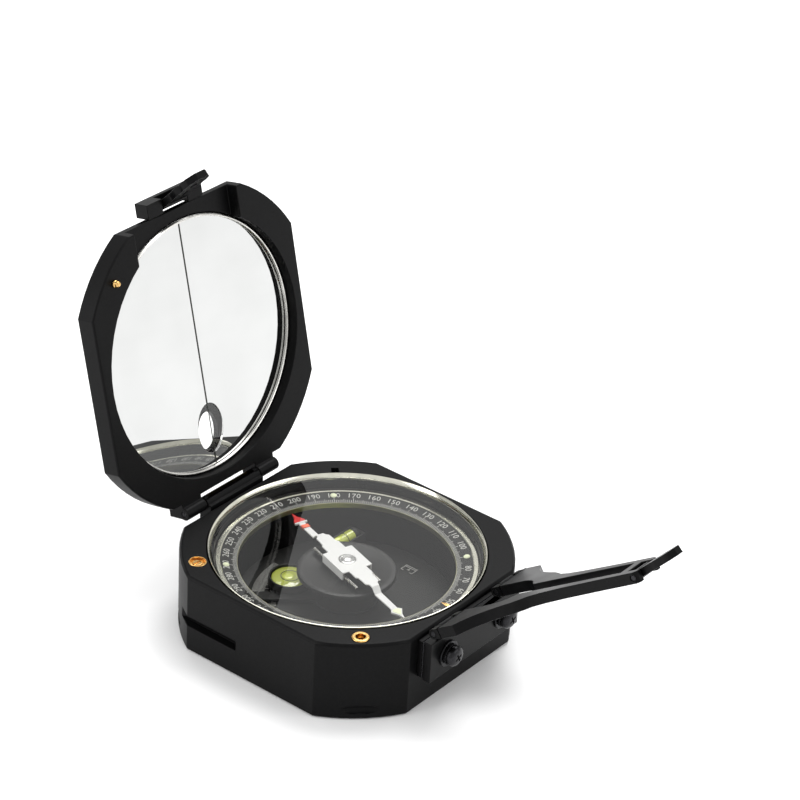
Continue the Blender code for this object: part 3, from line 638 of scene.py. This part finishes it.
class COMPASS_OT_ring(bpy.types.Operator):
    """Make the graduated ring: its black band and its bright rim"""

    bl_idname = "compass.ring"
    bl_label = "Graduated ring"

    def execute(self, context):
        flange, bottom, top = turned_sizes("graduated_ring")
        wall = RING_INNER + WALL_THICK
        band = [(wall, bottom), (BAND_OUTER, bottom), (BAND_OUTER, BAND_HIGH), (wall, BAND_LOW + 0.02)]
        made = piece("ring_band", turned(band, 192, closed=True), surface("dial black"), "dial_ring")
        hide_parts("graduated_ring")
        bare = [(RING_INNER, bottom), (wall - 0.02, bottom), (wall - 0.02, BAND_LOW),
                (RING_INNER + 0.04, BAND_LOW), (RING_INNER, BAND_LOW - 0.04)]
        piece("ring_inner_wall", turned(bare, 192, closed=True), surface("bare ring"), "dial_ring")
        rim = [(BAND_OUTER + 0.02, bottom), (flange, bottom), (flange, bottom + 1.3),
               (RIM_OUTER, bottom + 1.4), (RIM_OUTER, top - 0.2), (RIM_OUTER - 0.2, top),
               (BAND_OUTER + 0.25, top),
               (BAND_OUTER + 0.02, top - 0.2)]
        piece("ring_rim", turned(rim, 192, closed=True), surface("nickel"), "dial_ring")
        return {"FINISHED"}


class COMPASS_OT_graduations(bpy.types.Operator):
    """Print the ring's degree lines and numerals and lay its luminous dots"""

    bl_idname = "compass.graduations"
    bl_label = "Graduations"

    def execute(self, context):
        dial = context.scene.compass.dial
        relief_mm = dial.relief / MM
        lines = bmesh.new()
        for degree in range(360):
            length = LONG_LINE if degree % 10 == 0 else MIDDLE_LINE if degree % 5 == 0 else SHORT_LINE
            angle = dial.zero + math.radians(degree)
            place = band_place(RING_INNER + 0.15, angle)
            add_bar(lines, (0.0, 0.0), (length, 0.0), dial.line / MM, 0.0, relief_mm, place)
        piece("degree_lines", lines, surface("ink"), "dial_ring")
        numerals = bmesh.new()
        for degree in range(10, 360, 10):
            if degree == BLANK_DEGREE:
                continue
            angle = dial.zero + math.radians(degree)
            place = band_place(NUMERAL_RADIUS, angle, relief_mm / 2)
            upright = Matrix.Rotation(-math.pi / 2, 4, "Z")
            join_mesh(numerals, lettering(str(degree), dial.numeral), place @ upright)
        piece("ring_numerals", numerals, surface("ink"), "dial_ring")
        dots = bmesh.new()
        radius = dial.dot
        for quarter in range(4):
            angle = dial.zero + quarter * math.pi / 2
            flat = Matrix.Diagonal((radius, radius, radius * 0.42, 1.0))
            place = band_place(DOT_RADIUS, angle, 0.02) @ flat
            bmesh.ops.create_uvsphere(dots, u_segments=24, v_segments=12, radius=1.0, matrix=place)
        piece("luminous_dots", dots, surface("lume"), "dial_ring", smooth=80.0)
        return {"FINISHED"}


PLATE_HOLE = 3.2
PLATE_TICK = 0.10
HATCH_LINE = 0.19
HATCH_SPAN = (20.5, 23.7)
INNER_TICKS = (19.7, 20.5)
GRADE_SPAN = (24.5, 27.2)
SCALE_NUMBERS = 18.5
HATCH_GAP = (76.5, 84.0)


def in_gap(degree):
    """True where the clinometer scale is left blank."""
    return HATCH_GAP[0] < degree < HATCH_GAP[1]


def scale_bar(bm, degree, span, width, top, relief_mm):
    """One radial line of the scale plate."""
    place = Matrix.Rotation(math.radians(degree), 4, "Z")
    add_bar(bm, (span[0], 0.0), (span[1], 0.0), width, top, top + relief_mm, place)


def serif_letter(bm, strokes, corner, scale, top, relief_mm):
    """A letter drawn with thin strokes."""
    for start, end in strokes:
        points = [(corner[0] + x * scale, corner[1] + y * scale) for x, y in (start, end)]
        add_bar(bm, *points, 0.17, top, top + relief_mm)


LETTER_E = (((0.06, 0.0), (0.06, 1.0)), ((0.22, 0.0), (0.22, 1.0)), ((0.0, 1.0), (0.72, 1.0)),
            ((0.72, 1.0), (0.72, 0.78)), ((0.0, 0.0), (0.72, 0.0)), ((0.72, 0.0), (0.72, 0.22)),
            ((0.22, 0.5), (0.5, 0.5)), ((0.5, 0.38), (0.5, 0.62)))
LETTER_N = (((0.12, 0.0), (0.12, 1.0)), ((0.12, 1.0), (0.66, 0.0)), ((0.28, 1.0), (0.78, 0.08)),
            ((0.78, 0.0), (0.78, 1.0)), ((0.0, 1.0), (0.28, 1.0)), ((0.0, 0.0), (0.24, 0.0)),
            ((0.62, 1.0), (0.92, 1.0)))
LETTER_S = (((0.68, 0.82), (0.5, 1.0)), ((0.5, 1.0), (0.2, 1.0)), ((0.2, 1.0), (0.05, 0.78)),
            ((0.05, 0.78), (0.2, 0.56)), ((0.2, 0.56), (0.52, 0.44)), ((0.52, 0.44), (0.68, 0.22)),
            ((0.68, 0.22), (0.5, 0.0)), ((0.5, 0.0), (0.2, 0.0)), ((0.2, 0.0), (0.03, 0.18)))


class COMPASS_OT_plate(bpy.types.Operator):
    """Finish the scale plate and print its clinometer scale and letters"""

    bl_idname = "compass.plate"
    bl_label = "Scale plate"

    def execute(self, context):
        dial = context.scene.compass.dial
        relief_mm = dial.relief / MM
        outer, bottom, top = turned_sizes("scale_plate")
        profile = [(PLATE_HOLE, bottom), (outer, bottom), (outer, top - 0.15), (outer - 0.15, top),
                   (PLATE_HOLE + 0.15, top), (PLATE_HOLE, top - 0.15)]
        piece("scale_plate_finish", turned(profile, 160, closed=True), surface("dial black"), "case",
              ("scale_plate",))
        hatch = bmesh.new()
        for degree in range(-90, 94):
            if not in_gap(degree):
                scale_bar(hatch, degree, HATCH_SPAN, HATCH_LINE, top, relief_mm)
        piece("clinometer_hatch", hatch, surface("grey ink"), "case")
        marks = bmesh.new()
        for degree in range(-90, 94, 5):
            if not in_gap(degree):
                longer = 0.5 if degree % 10 == 0 else 0.0
                span = (INNER_TICKS[0] - longer, INNER_TICKS[1])
                scale_bar(marks, degree, span, PLATE_TICK, top, relief_mm)
        for step in range(-22, 23):
            degree = math.degrees(math.atan(step * 0.075))
            if not in_gap(degree):
                shorter = 0.0 if step % 5 == 0 else 0.9
                span = (GRADE_SPAN[0] + 0.3, GRADE_SPAN[1] - shorter)
                scale_bar(marks, degree, span, PLATE_TICK, top, relief_mm)
        for strokes, corner, height in ((LETTER_E, (-22.7, 1.7), 3.5), (LETTER_N, (3.5, 12.6), 3.4),
                                        (LETTER_S, (4.1, -16.6), 3.0)):
            serif_letter(marks, strokes, corner, height, top, relief_mm)
        piece("plate_marks", marks, surface("ink"), "case")
        numbers = bmesh.new()
        for value in range(-90, 91, 10):
            if in_gap(value):
                continue
            turn = Matrix.Rotation(math.radians(value), 4, "Z")
            spot = Matrix.Translation((SCALE_NUMBERS * MM, 0.0, (top + relief_mm / 2) * MM))
            inward = Matrix.Rotation(math.pi / 2, 4, "Z")
            join_mesh(numbers, lettering(str(abs(value)), 1.55 * MM), turn @ spot @ inward)
        piece("scale_numbers", numbers, surface("ink"), "case")
        return {"FINISHED"}


class COMPASS_OT_clinometer(bpy.types.Operator):
    """Finish the hub, the pivot and the vernier arm"""

    bl_idname = "compass.clinometer"
    bl_label = "Clinometer"

    def execute(self, context):
        outer, bottom, top = turned_sizes("hub_disc")
        profile = [(2.2, bottom), (outer, bottom), (outer, top - 0.35), (outer - 0.12, top - 0.12),
                   (outer - 0.4, top), (outer - 1.5, top - 0.02), (outer - 1.6, top - 0.06),
                   (2.4, top - 0.06), (2.2, top - 0.2)]
        piece("hub_disc_finish", turned(profile, 128, closed=True), surface("hub black"),
              "clinometer", ("hub_disc",))
        refine("vernier_arm", surface("dial black"), "clinometer")
        refine("pivot_post", surface("bright rod"), "clinometer")
        refine("clinometer_shaft", turned_brass("clinometer_shaft"), "clinometer")
        return {"FINISHED"}


class COMPASS_OT_levels(bpy.types.Operator):
    """Make both spirit levels with their vials, bubbles and lines"""

    bl_idname = "compass.levels"
    bl_label = "Levels"

    def execute(self, context):
        refine("long_level_holder", surface("hub black"), "clinometer")
        low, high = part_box("long_level_vial")
        centre = (low + high) / 2.0
        radius = (high.y - low.y) / 2.0 / MM
        lying = Matrix.Translation(centre) @ Matrix.Rotation(math.pi / 2, 4, "Y")
        near, far = (low.x - centre.x) / MM, (high.x - centre.x) / MM
        left, right = near + 1.6, far - 3.9
        body = [(0.0, left), (radius, left), (radius, right), (0.0, right)]
        piece("long_level_tube", turned(body, 48, lying), surface("spirit"), "clinometer",
              ("long_level_vial",))
        for name, start, end in (("long_level_end_a", near, left), ("long_level_end_b", right, far)):
            cap = [(0.0, start + 0.02), (radius - 0.3, start + 0.02), (radius, start + 0.3),
                   (radius, end - 0.3), (radius - 0.3, end - 0.02), (0.0, end - 0.02)]
            piece(name, turned(cap, 48, lying), surface("hub black"), "clinometer")
        window = centre_of("long_level_holder").x - 1.6 * MM
        rings = bmesh.new()
        for shift in (-1.55, 1.55):
            band = [(radius + 0.01, -0.11), (radius + 0.05, -0.11), (radius + 0.05, 0.11),
                    (radius + 0.01, 0.11)]
            spot = Matrix.Translation((window + shift * MM, centre.y, centre.z))
            loop = turned(band, 48, spot @ Matrix.Rotation(math.pi / 2, 4, "Y"), closed=True)
            mesh = bpy.data.meshes.new("ring")
            loop.to_mesh(mesh)
            loop.free()
            join_mesh(rings, mesh, Matrix.Identity(4))
        piece("long_level_lines", rings, surface("level line"), "clinometer")
        bubble = bmesh.new()
        size = Matrix.Diagonal((1.9 * MM, 0.85 * MM, 0.5 * MM, 1.0))
        spot = Matrix.Translation((window + 1.2 * MM, centre.y, centre.z + (radius - 0.32) * MM))
        bmesh.ops.create_uvsphere(bubble, u_segments=32, v_segments=16, radius=1.0, matrix=spot @ size)
        piece("long_level_bubble", bubble, surface("bubble"), "clinometer", smooth=80.0)
        self.round_level()
        return {"FINISHED"}

    def round_level(self):
        """The bull's-eye level: cup, dome, circle and bubble."""
        low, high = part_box("round_level_cup")
        x, y = (low.x + high.x) / 2.0, (low.y + high.y) / 2.0
        upright = Matrix.Translation((x, y, 0.0))
        outer, bottom, top = small_sizes("round_level_cup")
        cup = [(outer - 0.5, bottom), (outer, bottom), (outer, top - 0.15), (outer - 0.12, top),
               (outer - 0.4, top), (outer - 0.5, top - 0.1)]
        piece("round_level_rim", turned(cup, 96, upright, closed=True), surface("hub black"),
              "clinometer", ("round_level_cup",))
        outer, bottom, top = small_sizes("round_level_vial")
        crown = [(outer, bottom), (outer, top - 0.6)]
        for step in range(9):
            angle = math.pi / 2 * step / 8
            crown.append((outer * math.cos(angle * 0.98), top - 0.45 + 0.45 * math.sin(angle)))
        dome = [(0.0, bottom), *crown[:-1], (0.0, top)]
        piece("round_level_dome", turned(dome, 96, upright), surface("spirit"), "clinometer",
              ("round_level_vial",))
        circle = [(2.25, top - 0.06), (2.42, top - 0.06), (2.42, top + 0.02), (2.25, top + 0.02)]
        piece("round_level_circle", turned(circle, 72, upright, closed=True), surface("level line"),
              "clinometer")
        bubble = bmesh.new()
        spot = upright @ Matrix.Translation((0.35 * MM, -0.3 * MM, (top - 0.1) * MM))
        size = Matrix.Diagonal((1.45 * MM, 1.45 * MM, 0.24 * MM, 1.0))
        bmesh.ops.create_uvsphere(bubble, u_segments=32, v_segments=12, radius=1.0, matrix=spot @ size)
        piece("round_level_bubble", bubble, surface("bubble"), "clinometer", smooth=80.0)


# ------------------------------------------------------------- the needle

WINDING_SPAN = (19.2, 20.6)
WINDING_TURNS = 8
WINDING_STEPS = 20
WINDING_SQUARE = 0.45
HEAD_START = 22.0
BLADE_LOW = -1.7
BLADE_THICK = 0.4
HEAD_OUTLINE = ((26.75, 0.0), (24.8, 0.45), (22.85, 1.65), (22.05, 1.0), (22.05, -1.0),
                (22.85, -1.65), (24.8, -0.45))
LUME_OUTLINE = ((25.0, 0.0), (24.3, 0.45), (22.9, 1.2), (22.3, 0.75), (22.3, -0.75), (22.9, -1.2),
                (24.3, -0.45))


class COMPASS_OT_needle(bpy.types.Operator):
    """Make the needle: white frame, marked heads, winding, cap and magnets"""

    bl_idname = "compass.needle"
    bl_label = "Needle"

    def execute(self, context):
        blade = node_copy("needle_frame")
        bmesh.ops.transform(blade, matrix=NEEDLE.inverted(), verts=blade.verts)
        for side in (-1.0, 1.0):
            geom = blade.verts[:] + blade.edges[:] + blade.faces[:]
            cut = bmesh.ops.bisect_plane(blade, geom=geom, dist=MERGE, clear_outer=True,
                                         plane_co=(side * HEAD_START * MM, 0, 0), plane_no=(side, 0, 0))
            rim = [item for item in cut["geom_cut"] if isinstance(item, bmesh.types.BMEdge)]
            bmesh.ops.holes_fill(blade, edges=rim, sides=0)
        soften(blade, 0.08 * MM)
        bmesh.ops.transform(blade, matrix=NEEDLE, verts=blade.verts)
        piece("needle_blade", blade, surface("needle white"), "needle",
              ("needle_frame",), weighted=True)
        about = Matrix.Rotation(math.pi, 4, "Z")
        for name, place, finish, slot in (
                ("needle_head_white", NEEDLE, "needle white", "needle_white"),
                ("needle_head_red", NEEDLE @ about, "needle red", "needle_white")):
            head = plate_shape(HEAD_OUTLINE, BLADE_LOW - 0.02, BLADE_LOW + BLADE_THICK + 0.05)
            soften(head, 0.06 * MM)
            bmesh.ops.transform(head, matrix=place, verts=head.verts)
            piece(name, head, surface(finish), "needle", weighted=True)
        top = BLADE_LOW + BLADE_THICK
        inlay = plate_shape(LUME_OUTLINE, top, top + 0.12)
        soften(inlay, 0.04 * MM)
        bmesh.ops.transform(inlay, matrix=NEEDLE, verts=inlay.verts)
        piece("needle_lume", inlay, surface("lume"), "needle")
        self.collar(NEEDLE @ about)
        self.winding(NEEDLE @ about)
        self.cap()
        for node in ("magnet_left", "magnet_right"):
            refine(node, surface("bright rod"), "needle", 0.12 * MM)
        return {"FINISHED"}

    def collar(self, place):
        """The white cross bar at the foot of the red head."""
        bar = bmesh.new()
        add_bar(bar, (22.05, -1.75), (22.05, 1.75), 0.55, BLADE_LOW - 0.05, BLADE_LOW + BLADE_THICK + 0.12)
        soften(bar, 0.07 * MM)
        bmesh.ops.transform(bar, matrix=place, verts=bar.verts)
        piece("needle_collar", bar, surface("needle white"), "needle")

    def winding(self, place):
        """The balance wire: close turns round the blade."""
        low, high = WINDING_SPAN
        wire = (high - low) / WINDING_TURNS / 2.0
        coil = bmesh.new()
        middle = BLADE_LOW + BLADE_THICK / 2
        for number in range(WINDING_TURNS):
            x = low + (number + 0.5) * (high - low) / WINDING_TURNS
            half_wide, half_high = 1.12, 0.36
            points = []
            for step in range(WINDING_STEPS):
                angle = FULL_TURN * step / WINDING_STEPS
                c, s = math.cos(angle), math.sin(angle)
                y = half_wide * math.copysign(abs(c) ** WINDING_SQUARE, c)
                z = middle + half_high * math.copysign(abs(s) ** WINDING_SQUARE, s)
                points.append(Vector((x, y, z)) * MM)
            for start, end in zip(points, points[1:] + points[:1]):
                along = end - start
                spot = Matrix.Translation((start + end) / 2.0)
                turn = along.to_track_quat("Z", "Y").to_matrix().to_4x4()
                bmesh.ops.create_cone(coil, segments=8, radius1=wire * MM, radius2=wire * MM,
                                      depth=along.length * 1.25, cap_ends=True,
                                      matrix=place @ spot @ turn)
        piece("balance_winding", coil, surface("winding"), "needle", ("balance_wire",))

    def cap(self):
        """The turned cap over the jewel, with its two grooves."""
        low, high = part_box("jewel_cap")
        zero = joint_point("needle_spin").z
        top = (high.z - zero) / MM
        bottom = (low.z - zero) / MM
        profile = [(0.0, bottom + 0.2), (1.0, bottom + 0.2), (2.1, bottom), (2.25, bottom + 0.3),
                   (2.25, top - 0.55), (2.1, top - 0.4), (1.85, top - 0.34), (1.75, top - 0.42),
                   (1.62, top - 0.42), (1.52, top - 0.3), (1.1, top - 0.12), (1.0, top - 0.2),
                   (0.85, top - 0.2), (0.75, top - 0.06), (0.4, top), (0.0, top)]
        piece("jewel_cap_finish", turned(profile, 72, NEEDLE), surface("cap"), "needle",
              ("jewel_cap",))


# ----------------------------------------------------- small turned parts


class COMPASS_OT_bushes(bpy.types.Operator):
    """Finish the brass bushes, the pinion, the lift pin and the index pin"""

    bl_idname = "compass.bushes"
    bl_label = "Bushes and pins"

    def execute(self, context):
        middle = centre_of("pinion_bush")
        outer, bottom, top = small_sizes("pinion_bush")
        bore = 1.28
        profile = [(bore, bottom), (outer, bottom), (outer, top - 0.1), (outer - 0.1, top),
                   (outer - 0.32, top), (outer - 0.45, top - 0.8), (bore, top - 0.8)]
        place = Matrix.Translation((middle.x, middle.y, 0.0))
        piece("pinion_bush_finish", turned(profile, 48, place, closed=True),
              turned_brass("pinion_bush"), "case", ("pinion_bush",))
        for node, body in (("lift_bush", "case"), ("ring_pinion", "pinion"), ("lift_pin", "lift"),
                           ("lid_stud", "lid")):
            refine(node, turned_brass(node), body, 0.12 * MM)
        refine("index_pin", surface("hinge brass"), "case", 0.03 * MM)
        frame["nodes"]["lift_spring"].material_slots[0].material = surface("bright rod")
        return {"FINISHED"}


# ---------------------------------------------------------------- the lid

MIRROR_MIDDLE = 39.1
SIGHTING_SPAN = (6.6, 71.8)


class COMPASS_OT_lid(bpy.types.Operator):
    """Round the edges of the lid and finish the hinge"""

    bl_idname = "compass.lid"
    bl_label = "Lid and hinge"

    def execute(self, context):
        edge = context.scene.compass.finish.edge
        refine("lid_shell", surface("enamel"), "lid", edge, 3)
        refine("hinge_lug", surface("enamel"), "case", 0.15 * MM)
        self.hinge_pin()
        for node in ("lug_screw_1", "lug_screw_2"):
            refine(node, surface("dark steel"), "case")
        return {"FINISHED"}

    def hinge_pin(self):
        """A brass pin with a blackened, slotted head at each end."""
        low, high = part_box("hinge_pin")
        radius, half = (high.z - low.z) / 2.0 / MM, high.x / MM
        lying = Matrix.Translation(centre_of("hinge_pin")) @ Matrix.Rotation(math.pi / 2, 4, "Y")
        head = 0.6
        rod = [(0.0, head - half), (radius, head - half), (radius, half - head), (0.0, half - head)]
        piece("hinge_pin_rod", turned(rod, 32, lying), surface("hinge brass"), "case",
              ("hinge_pin",))
        for side in (1.0, -1.0):
            end = [(0.0, half - head), (radius, half - head), (radius, half - 0.08),
                   (radius - 0.08, half), (0.0, half)]
            slit = bmesh.new()
            add_bar(slit, (-1.0, 0.0), (1.0, 0.0), 0.22, half - 0.25, half + 1.0)
            bm = carve(turned(end, 32), slit)
            outward = Matrix.Rotation(0.0 if side > 0 else math.pi, 4, "Y")
            bmesh.ops.transform(bm, matrix=lying @ outward, verts=bm.verts)
            name = "hinge_pin_head_left" if side > 0 else "hinge_pin_head_right"
            piece(name, bm, surface("dark steel"), "case")


class COMPASS_OT_mirror(bpy.types.Operator):
    """Make the mirror, its sighting line, its clear window and its ring"""

    bl_idname = "compass.mirror"
    bl_label = "Mirror"

    def execute(self, context):
        refine("mirror", surface("mirror"), "lid", 0.05 * MM)
        refine("sighting_pane", surface("clear glass"), "lid", 0.03 * MM)
        centre = Matrix.Translation((0.0, MIRROR_MIDDLE * MM, 0.0))
        ring = [(32.6, 2.95), (32.7, 2.65), (32.95, 2.55), (33.2, 2.65), (33.35, 2.95), (33.2, 3.25),
                (32.95, 3.3), (32.7, 3.25)]
        piece("mirror_ring_finish", turned(ring, 160, LID @ centre, closed=True), surface("bright rod"),
              "lid", ("mirror_ring",))
        line = bmesh.new()
        add_bar(line, (0.0, SIGHTING_SPAN[0]), (0.0, SIGHTING_SPAN[1]), 0.26, 3.3, 3.42, LID)
        piece("sighting_line", line, surface("level line"), "lid")
        return {"FINISHED"}


class COMPASS_OT_peep(bpy.types.Operator):
    """Finish the peep sight on the lid's far edge"""

    bl_idname = "compass.peep"
    bl_label = "Peep sight"

    def execute(self, context):
        refine("peep_block", surface("arm enamel"), "lid", 0.14 * MM)
        refine("peep_leaf", surface("arm enamel"), "peep", 0.14 * MM)
        refine("peep_pin", surface("dark steel"), "lid")
        return {"FINISHED"}


# ---------------------------------------------------------- arm and bracket

HEAD_TALL = 1.95
WASHER_BORE = 1.6


class COMPASS_OT_arm(bpy.types.Operator):
    """Finish the sight arm, its tip sight and their pins"""

    bl_idname = "compass.arm"
    bl_label = "Sight arm"

    def execute(self, context):
        refine("sight_arm", surface("arm enamel"), "arm", 0.18 * MM)
        refine("sight_tip", surface("arm enamel"), "tip", 0.12 * MM)
        refine("tip_pin", surface("dark steel"), "arm")
        for node in ("arm_pin_a", "arm_pin_b"):
            refine(node, surface("dark steel"), "case")
        return {"FINISHED"}


class COMPASS_OT_bracket(bpy.types.Operator):
    """Finish the three layers of the bracket"""

    bl_idname = "compass.bracket"
    bl_label = "Bracket"

    def execute(self, context):
        for node, finish, slot in (("bracket_block", "enamel", "black_enamel"),
                                   ("bracket_shim", "dark steel", "dark_steel"),
                                   ("bracket_plate", "arm enamel", "black_enamel")):
            refine(node, surface(finish), "case", 0.14 * MM)
        return {"FINISHED"}


class COMPASS_OT_screws(bpy.types.Operator):
    """Make the two pan-head screws with their flat and spring washers"""

    bl_idname = "compass.screws"
    bl_label = "Screws and washers"

    def execute(self, context):
        for number in (1, 2):
            self.screw(number)
            self.flat_washer(number)
            self.spring_washer(number)
        return {"FINISHED"}

    def facing_out(self, node, height):
        """A place on a screw's axis, with Z pointing out of the bracket."""
        middle = centre_of(node)
        spot = Matrix.Translation((middle.x, height, middle.z))
        return spot @ Matrix.Rotation(-math.pi / 2, 4, "X")

    def screw(self, number):
        """A domed head with a cross recess, and its plain shank."""
        node = f"bracket_screw_{number}"
        low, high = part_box(node)
        shank = (high.y - low.y) / MM - HEAD_TALL
        place = self.facing_out(node, high.y - HEAD_TALL * MM)
        profile = [(0.0, -shank), (1.05, -shank), (1.25, -shank + 0.25), (1.25, 0.0), (2.5, 0.0),
                   (2.65, 0.15), (2.65, 0.75)]
        for step in range(1, 7):
            angle = math.radians(8.0 + 72.0 * step / 6)
            profile.append((0.9 + 1.75 * math.cos(angle), 0.75 + 1.2 * math.sin(angle)))
        profile.append((0.0, HEAD_TALL))
        head = turned(profile, 64)
        for turn in (25.0, 115.0):
            bar = bmesh.new()
            add_bar(bar, (-1.15, 0.0), (1.15, 0.0), 0.46, 1.15, 3.0,
                    Matrix.Rotation(math.radians(turn), 4, "Z"))
            head = carve(head, bar)
        bmesh.ops.transform(head, matrix=place, verts=head.verts)
        piece(f"{node}_finish", head, surface("dark steel"), "case", (node,))

    def flat_washer(self, number):
        """A flat washer with rounded rims."""
        node = f"flat_washer_{number}"
        low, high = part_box(node)
        place = self.facing_out(node, low.y)
        outer, thick = (high.x - low.x) / 2.0 / MM, (high.y - low.y) / MM
        profile = [(WASHER_BORE, 0.0), (outer, 0.0), (outer, thick - 0.12), (outer - 0.12, thick),
                   (WASHER_BORE, thick)]
        piece(f"{node}_finish", turned(profile, 64, place, closed=True), surface("dark steel"), "case",
              (node,))

    def spring_washer(self, number):
        """A split spring washer."""
        node = f"lock_washer_{number}"
        low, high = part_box(node)
        place = self.facing_out(node, low.y)
        outer, thick = (high.x - low.x) / 2.0 / MM, (high.y - low.y) / MM
        profile = [(WASHER_BORE, 0.04), (outer - 0.06, 0.0), (outer, 0.08), (outer, thick - 0.08),
                   (outer - 0.06, thick), (WASHER_BORE, thick - 0.04)]
        bm = turned(profile, 64, closed=True)
        slit = bmesh.new()
        add_bar(slit, (1.2, -0.25), (3.4, 0.25), 0.28, -0.5, 1.5, Matrix.Rotation(0.7, 4, "Z"))
        split = carve(bm, slit)
        bmesh.ops.transform(split, matrix=place, verts=split.verts)
        piece(f"{node}_finish", split, surface("dark steel"), "case", (node,))


# --------------------------------------------------------------- the stage


class COMPASS_OT_stage(bpy.types.Operator):
    """Set the camera, the pale floor and soft studio light"""

    bl_idname = "compass.stage"
    bl_label = "Stage"

    def execute(self, context):
        stage = context.scene.compass.stage
        self.camera(context.scene, stage)
        self.floor(stage)
        self.sky(context.scene, stage)
        middle = Vector((0.0, 0.0, 0.04))
        for name, spot, size, power in (
                ("Key", (-0.35, -0.15, 0.75), 0.55, 5.5),
                ("Left", (0.70, -0.45, 0.40), 0.60, 3.5),
                ("Back", (-0.30, 0.75, 0.50), 0.60, 1.9)):
            self.softbox(name, Vector(spot), middle, size, power)
        context.scene.view_settings.view_transform = "Standard"
        context.scene.view_settings.look = "None"
        return {"FINISHED"}

    def camera(self, scene, stage):
        """A long lens on the object, level but for a slight roll."""
        data = bpy.data.cameras.new("Camera")
        data.lens = stage.lens
        data.sensor_width = 36.0
        data.clip_start = 0.01
        made = bpy.data.objects.new("Camera", data)
        scene.collection.objects.link(made)
        a, e, r = stage.azimuth, stage.elevation, stage.roll
        back = Vector((math.sin(a) * math.cos(e), -math.cos(a) * math.cos(e), math.sin(e)))
        right = Vector((math.cos(a), math.sin(a), 0.0))
        up = back.cross(right)
        rolled_right = math.cos(r) * right + math.sin(r) * up
        rolled_up = -math.sin(r) * right + math.cos(r) * up
        turn = Matrix((rolled_right, rolled_up, back)).transposed()
        made.matrix_world = Matrix.Translation(stage.eye) @ turn.to_4x4()
        scene.camera = made

    def floor(self, stage):
        """A wide plain floor that the compass stands on."""
        bm = bmesh.new()
        bmesh.ops.create_grid(bm, x_segments=1, y_segments=1, size=6.0)
        mesh = bpy.data.meshes.new("Floor")
        bm.to_mesh(mesh)
        bm.free()
        mesh.materials.append(coated("floor", stage.floor, (0.6, 0.7), 30.0, 0.0, 0.2, 0.01))
        made = bpy.data.objects.new("Floor", mesh)
        bpy.context.scene.collection.objects.link(made)

    def sky(self, scene, stage):
        """Even white light from all round."""
        world = bpy.data.worlds.new("Studio")
        world.use_nodes = True
        background = world.node_tree.nodes["Background"]
        background.inputs["Color"].default_value = (1.0, 1.0, 1.0, 1.0)
        background.inputs["Strength"].default_value = stage.sky
        scene.world = world

    def softbox(self, name, spot, target, size, power):
        """A square area light aimed at the object."""
        data = bpy.data.lights.new(name, "AREA")
        data.size = size
        data.energy = power
        made = bpy.data.objects.new(name, data)
        made.matrix_world = Matrix.Translation(spot) @ (
            (spot - target).to_track_quat("Z", "Y").to_matrix().to_4x4())
        bpy.context.scene.collection.objects.link(made)


# ---------------------------------------------------------------- the panel

OPERATORS = (
    COMPASS_OT_case, COMPASS_OT_glazing, COMPASS_OT_ring, COMPASS_OT_graduations, COMPASS_OT_plate,
    COMPASS_OT_clinometer, COMPASS_OT_levels, COMPASS_OT_needle, COMPASS_OT_bushes, COMPASS_OT_lid,
    COMPASS_OT_mirror, COMPASS_OT_peep, COMPASS_OT_arm, COMPASS_OT_bracket, COMPASS_OT_screws,
    COMPASS_OT_stage,
)


class COMPASS_PT_panel(bpy.types.Panel):
    """The compass's pieces in the order in which they are made"""

    bl_idname = "COMPASS_PT_panel"
    bl_label = "Sighting Compass"
    bl_space_type = "VIEW_3D"
    bl_region_type = "UI"
    bl_category = "Compass"

    def draw(self, context):
        layout = self.layout
        compass = context.scene.compass
        for group in (compass.finish, compass.dial, compass.stage):
            box = layout.box()
            for name in group.__annotations__:
                box.prop(group, name)
        for operator in OPERATORS:
            layout.operator(operator.bl_idname)


CLASSES = (FinishSettings, DialSettings, StageSettings, CompassSettings, *OPERATORS, COMPASS_PT_panel)


def register():
    """Add the classes and the scene's settings."""
    for item in CLASSES:
        bpy.utils.register_class(item)
    bpy.types.Scene.compass = bpy.props.PointerProperty(type=CompassSettings)


def unregister():
    """Take the settings and the classes away."""
    del bpy.types.Scene.compass
    for item in reversed(CLASSES):
        bpy.utils.unregister_class(item)


def main():
    """Make every piece."""
    register()
    for operator in OPERATORS:
        group, name = operator.bl_idname.split(".")
        getattr(getattr(bpy.ops, group), name)()


if __name__ == "__main__":
    main()
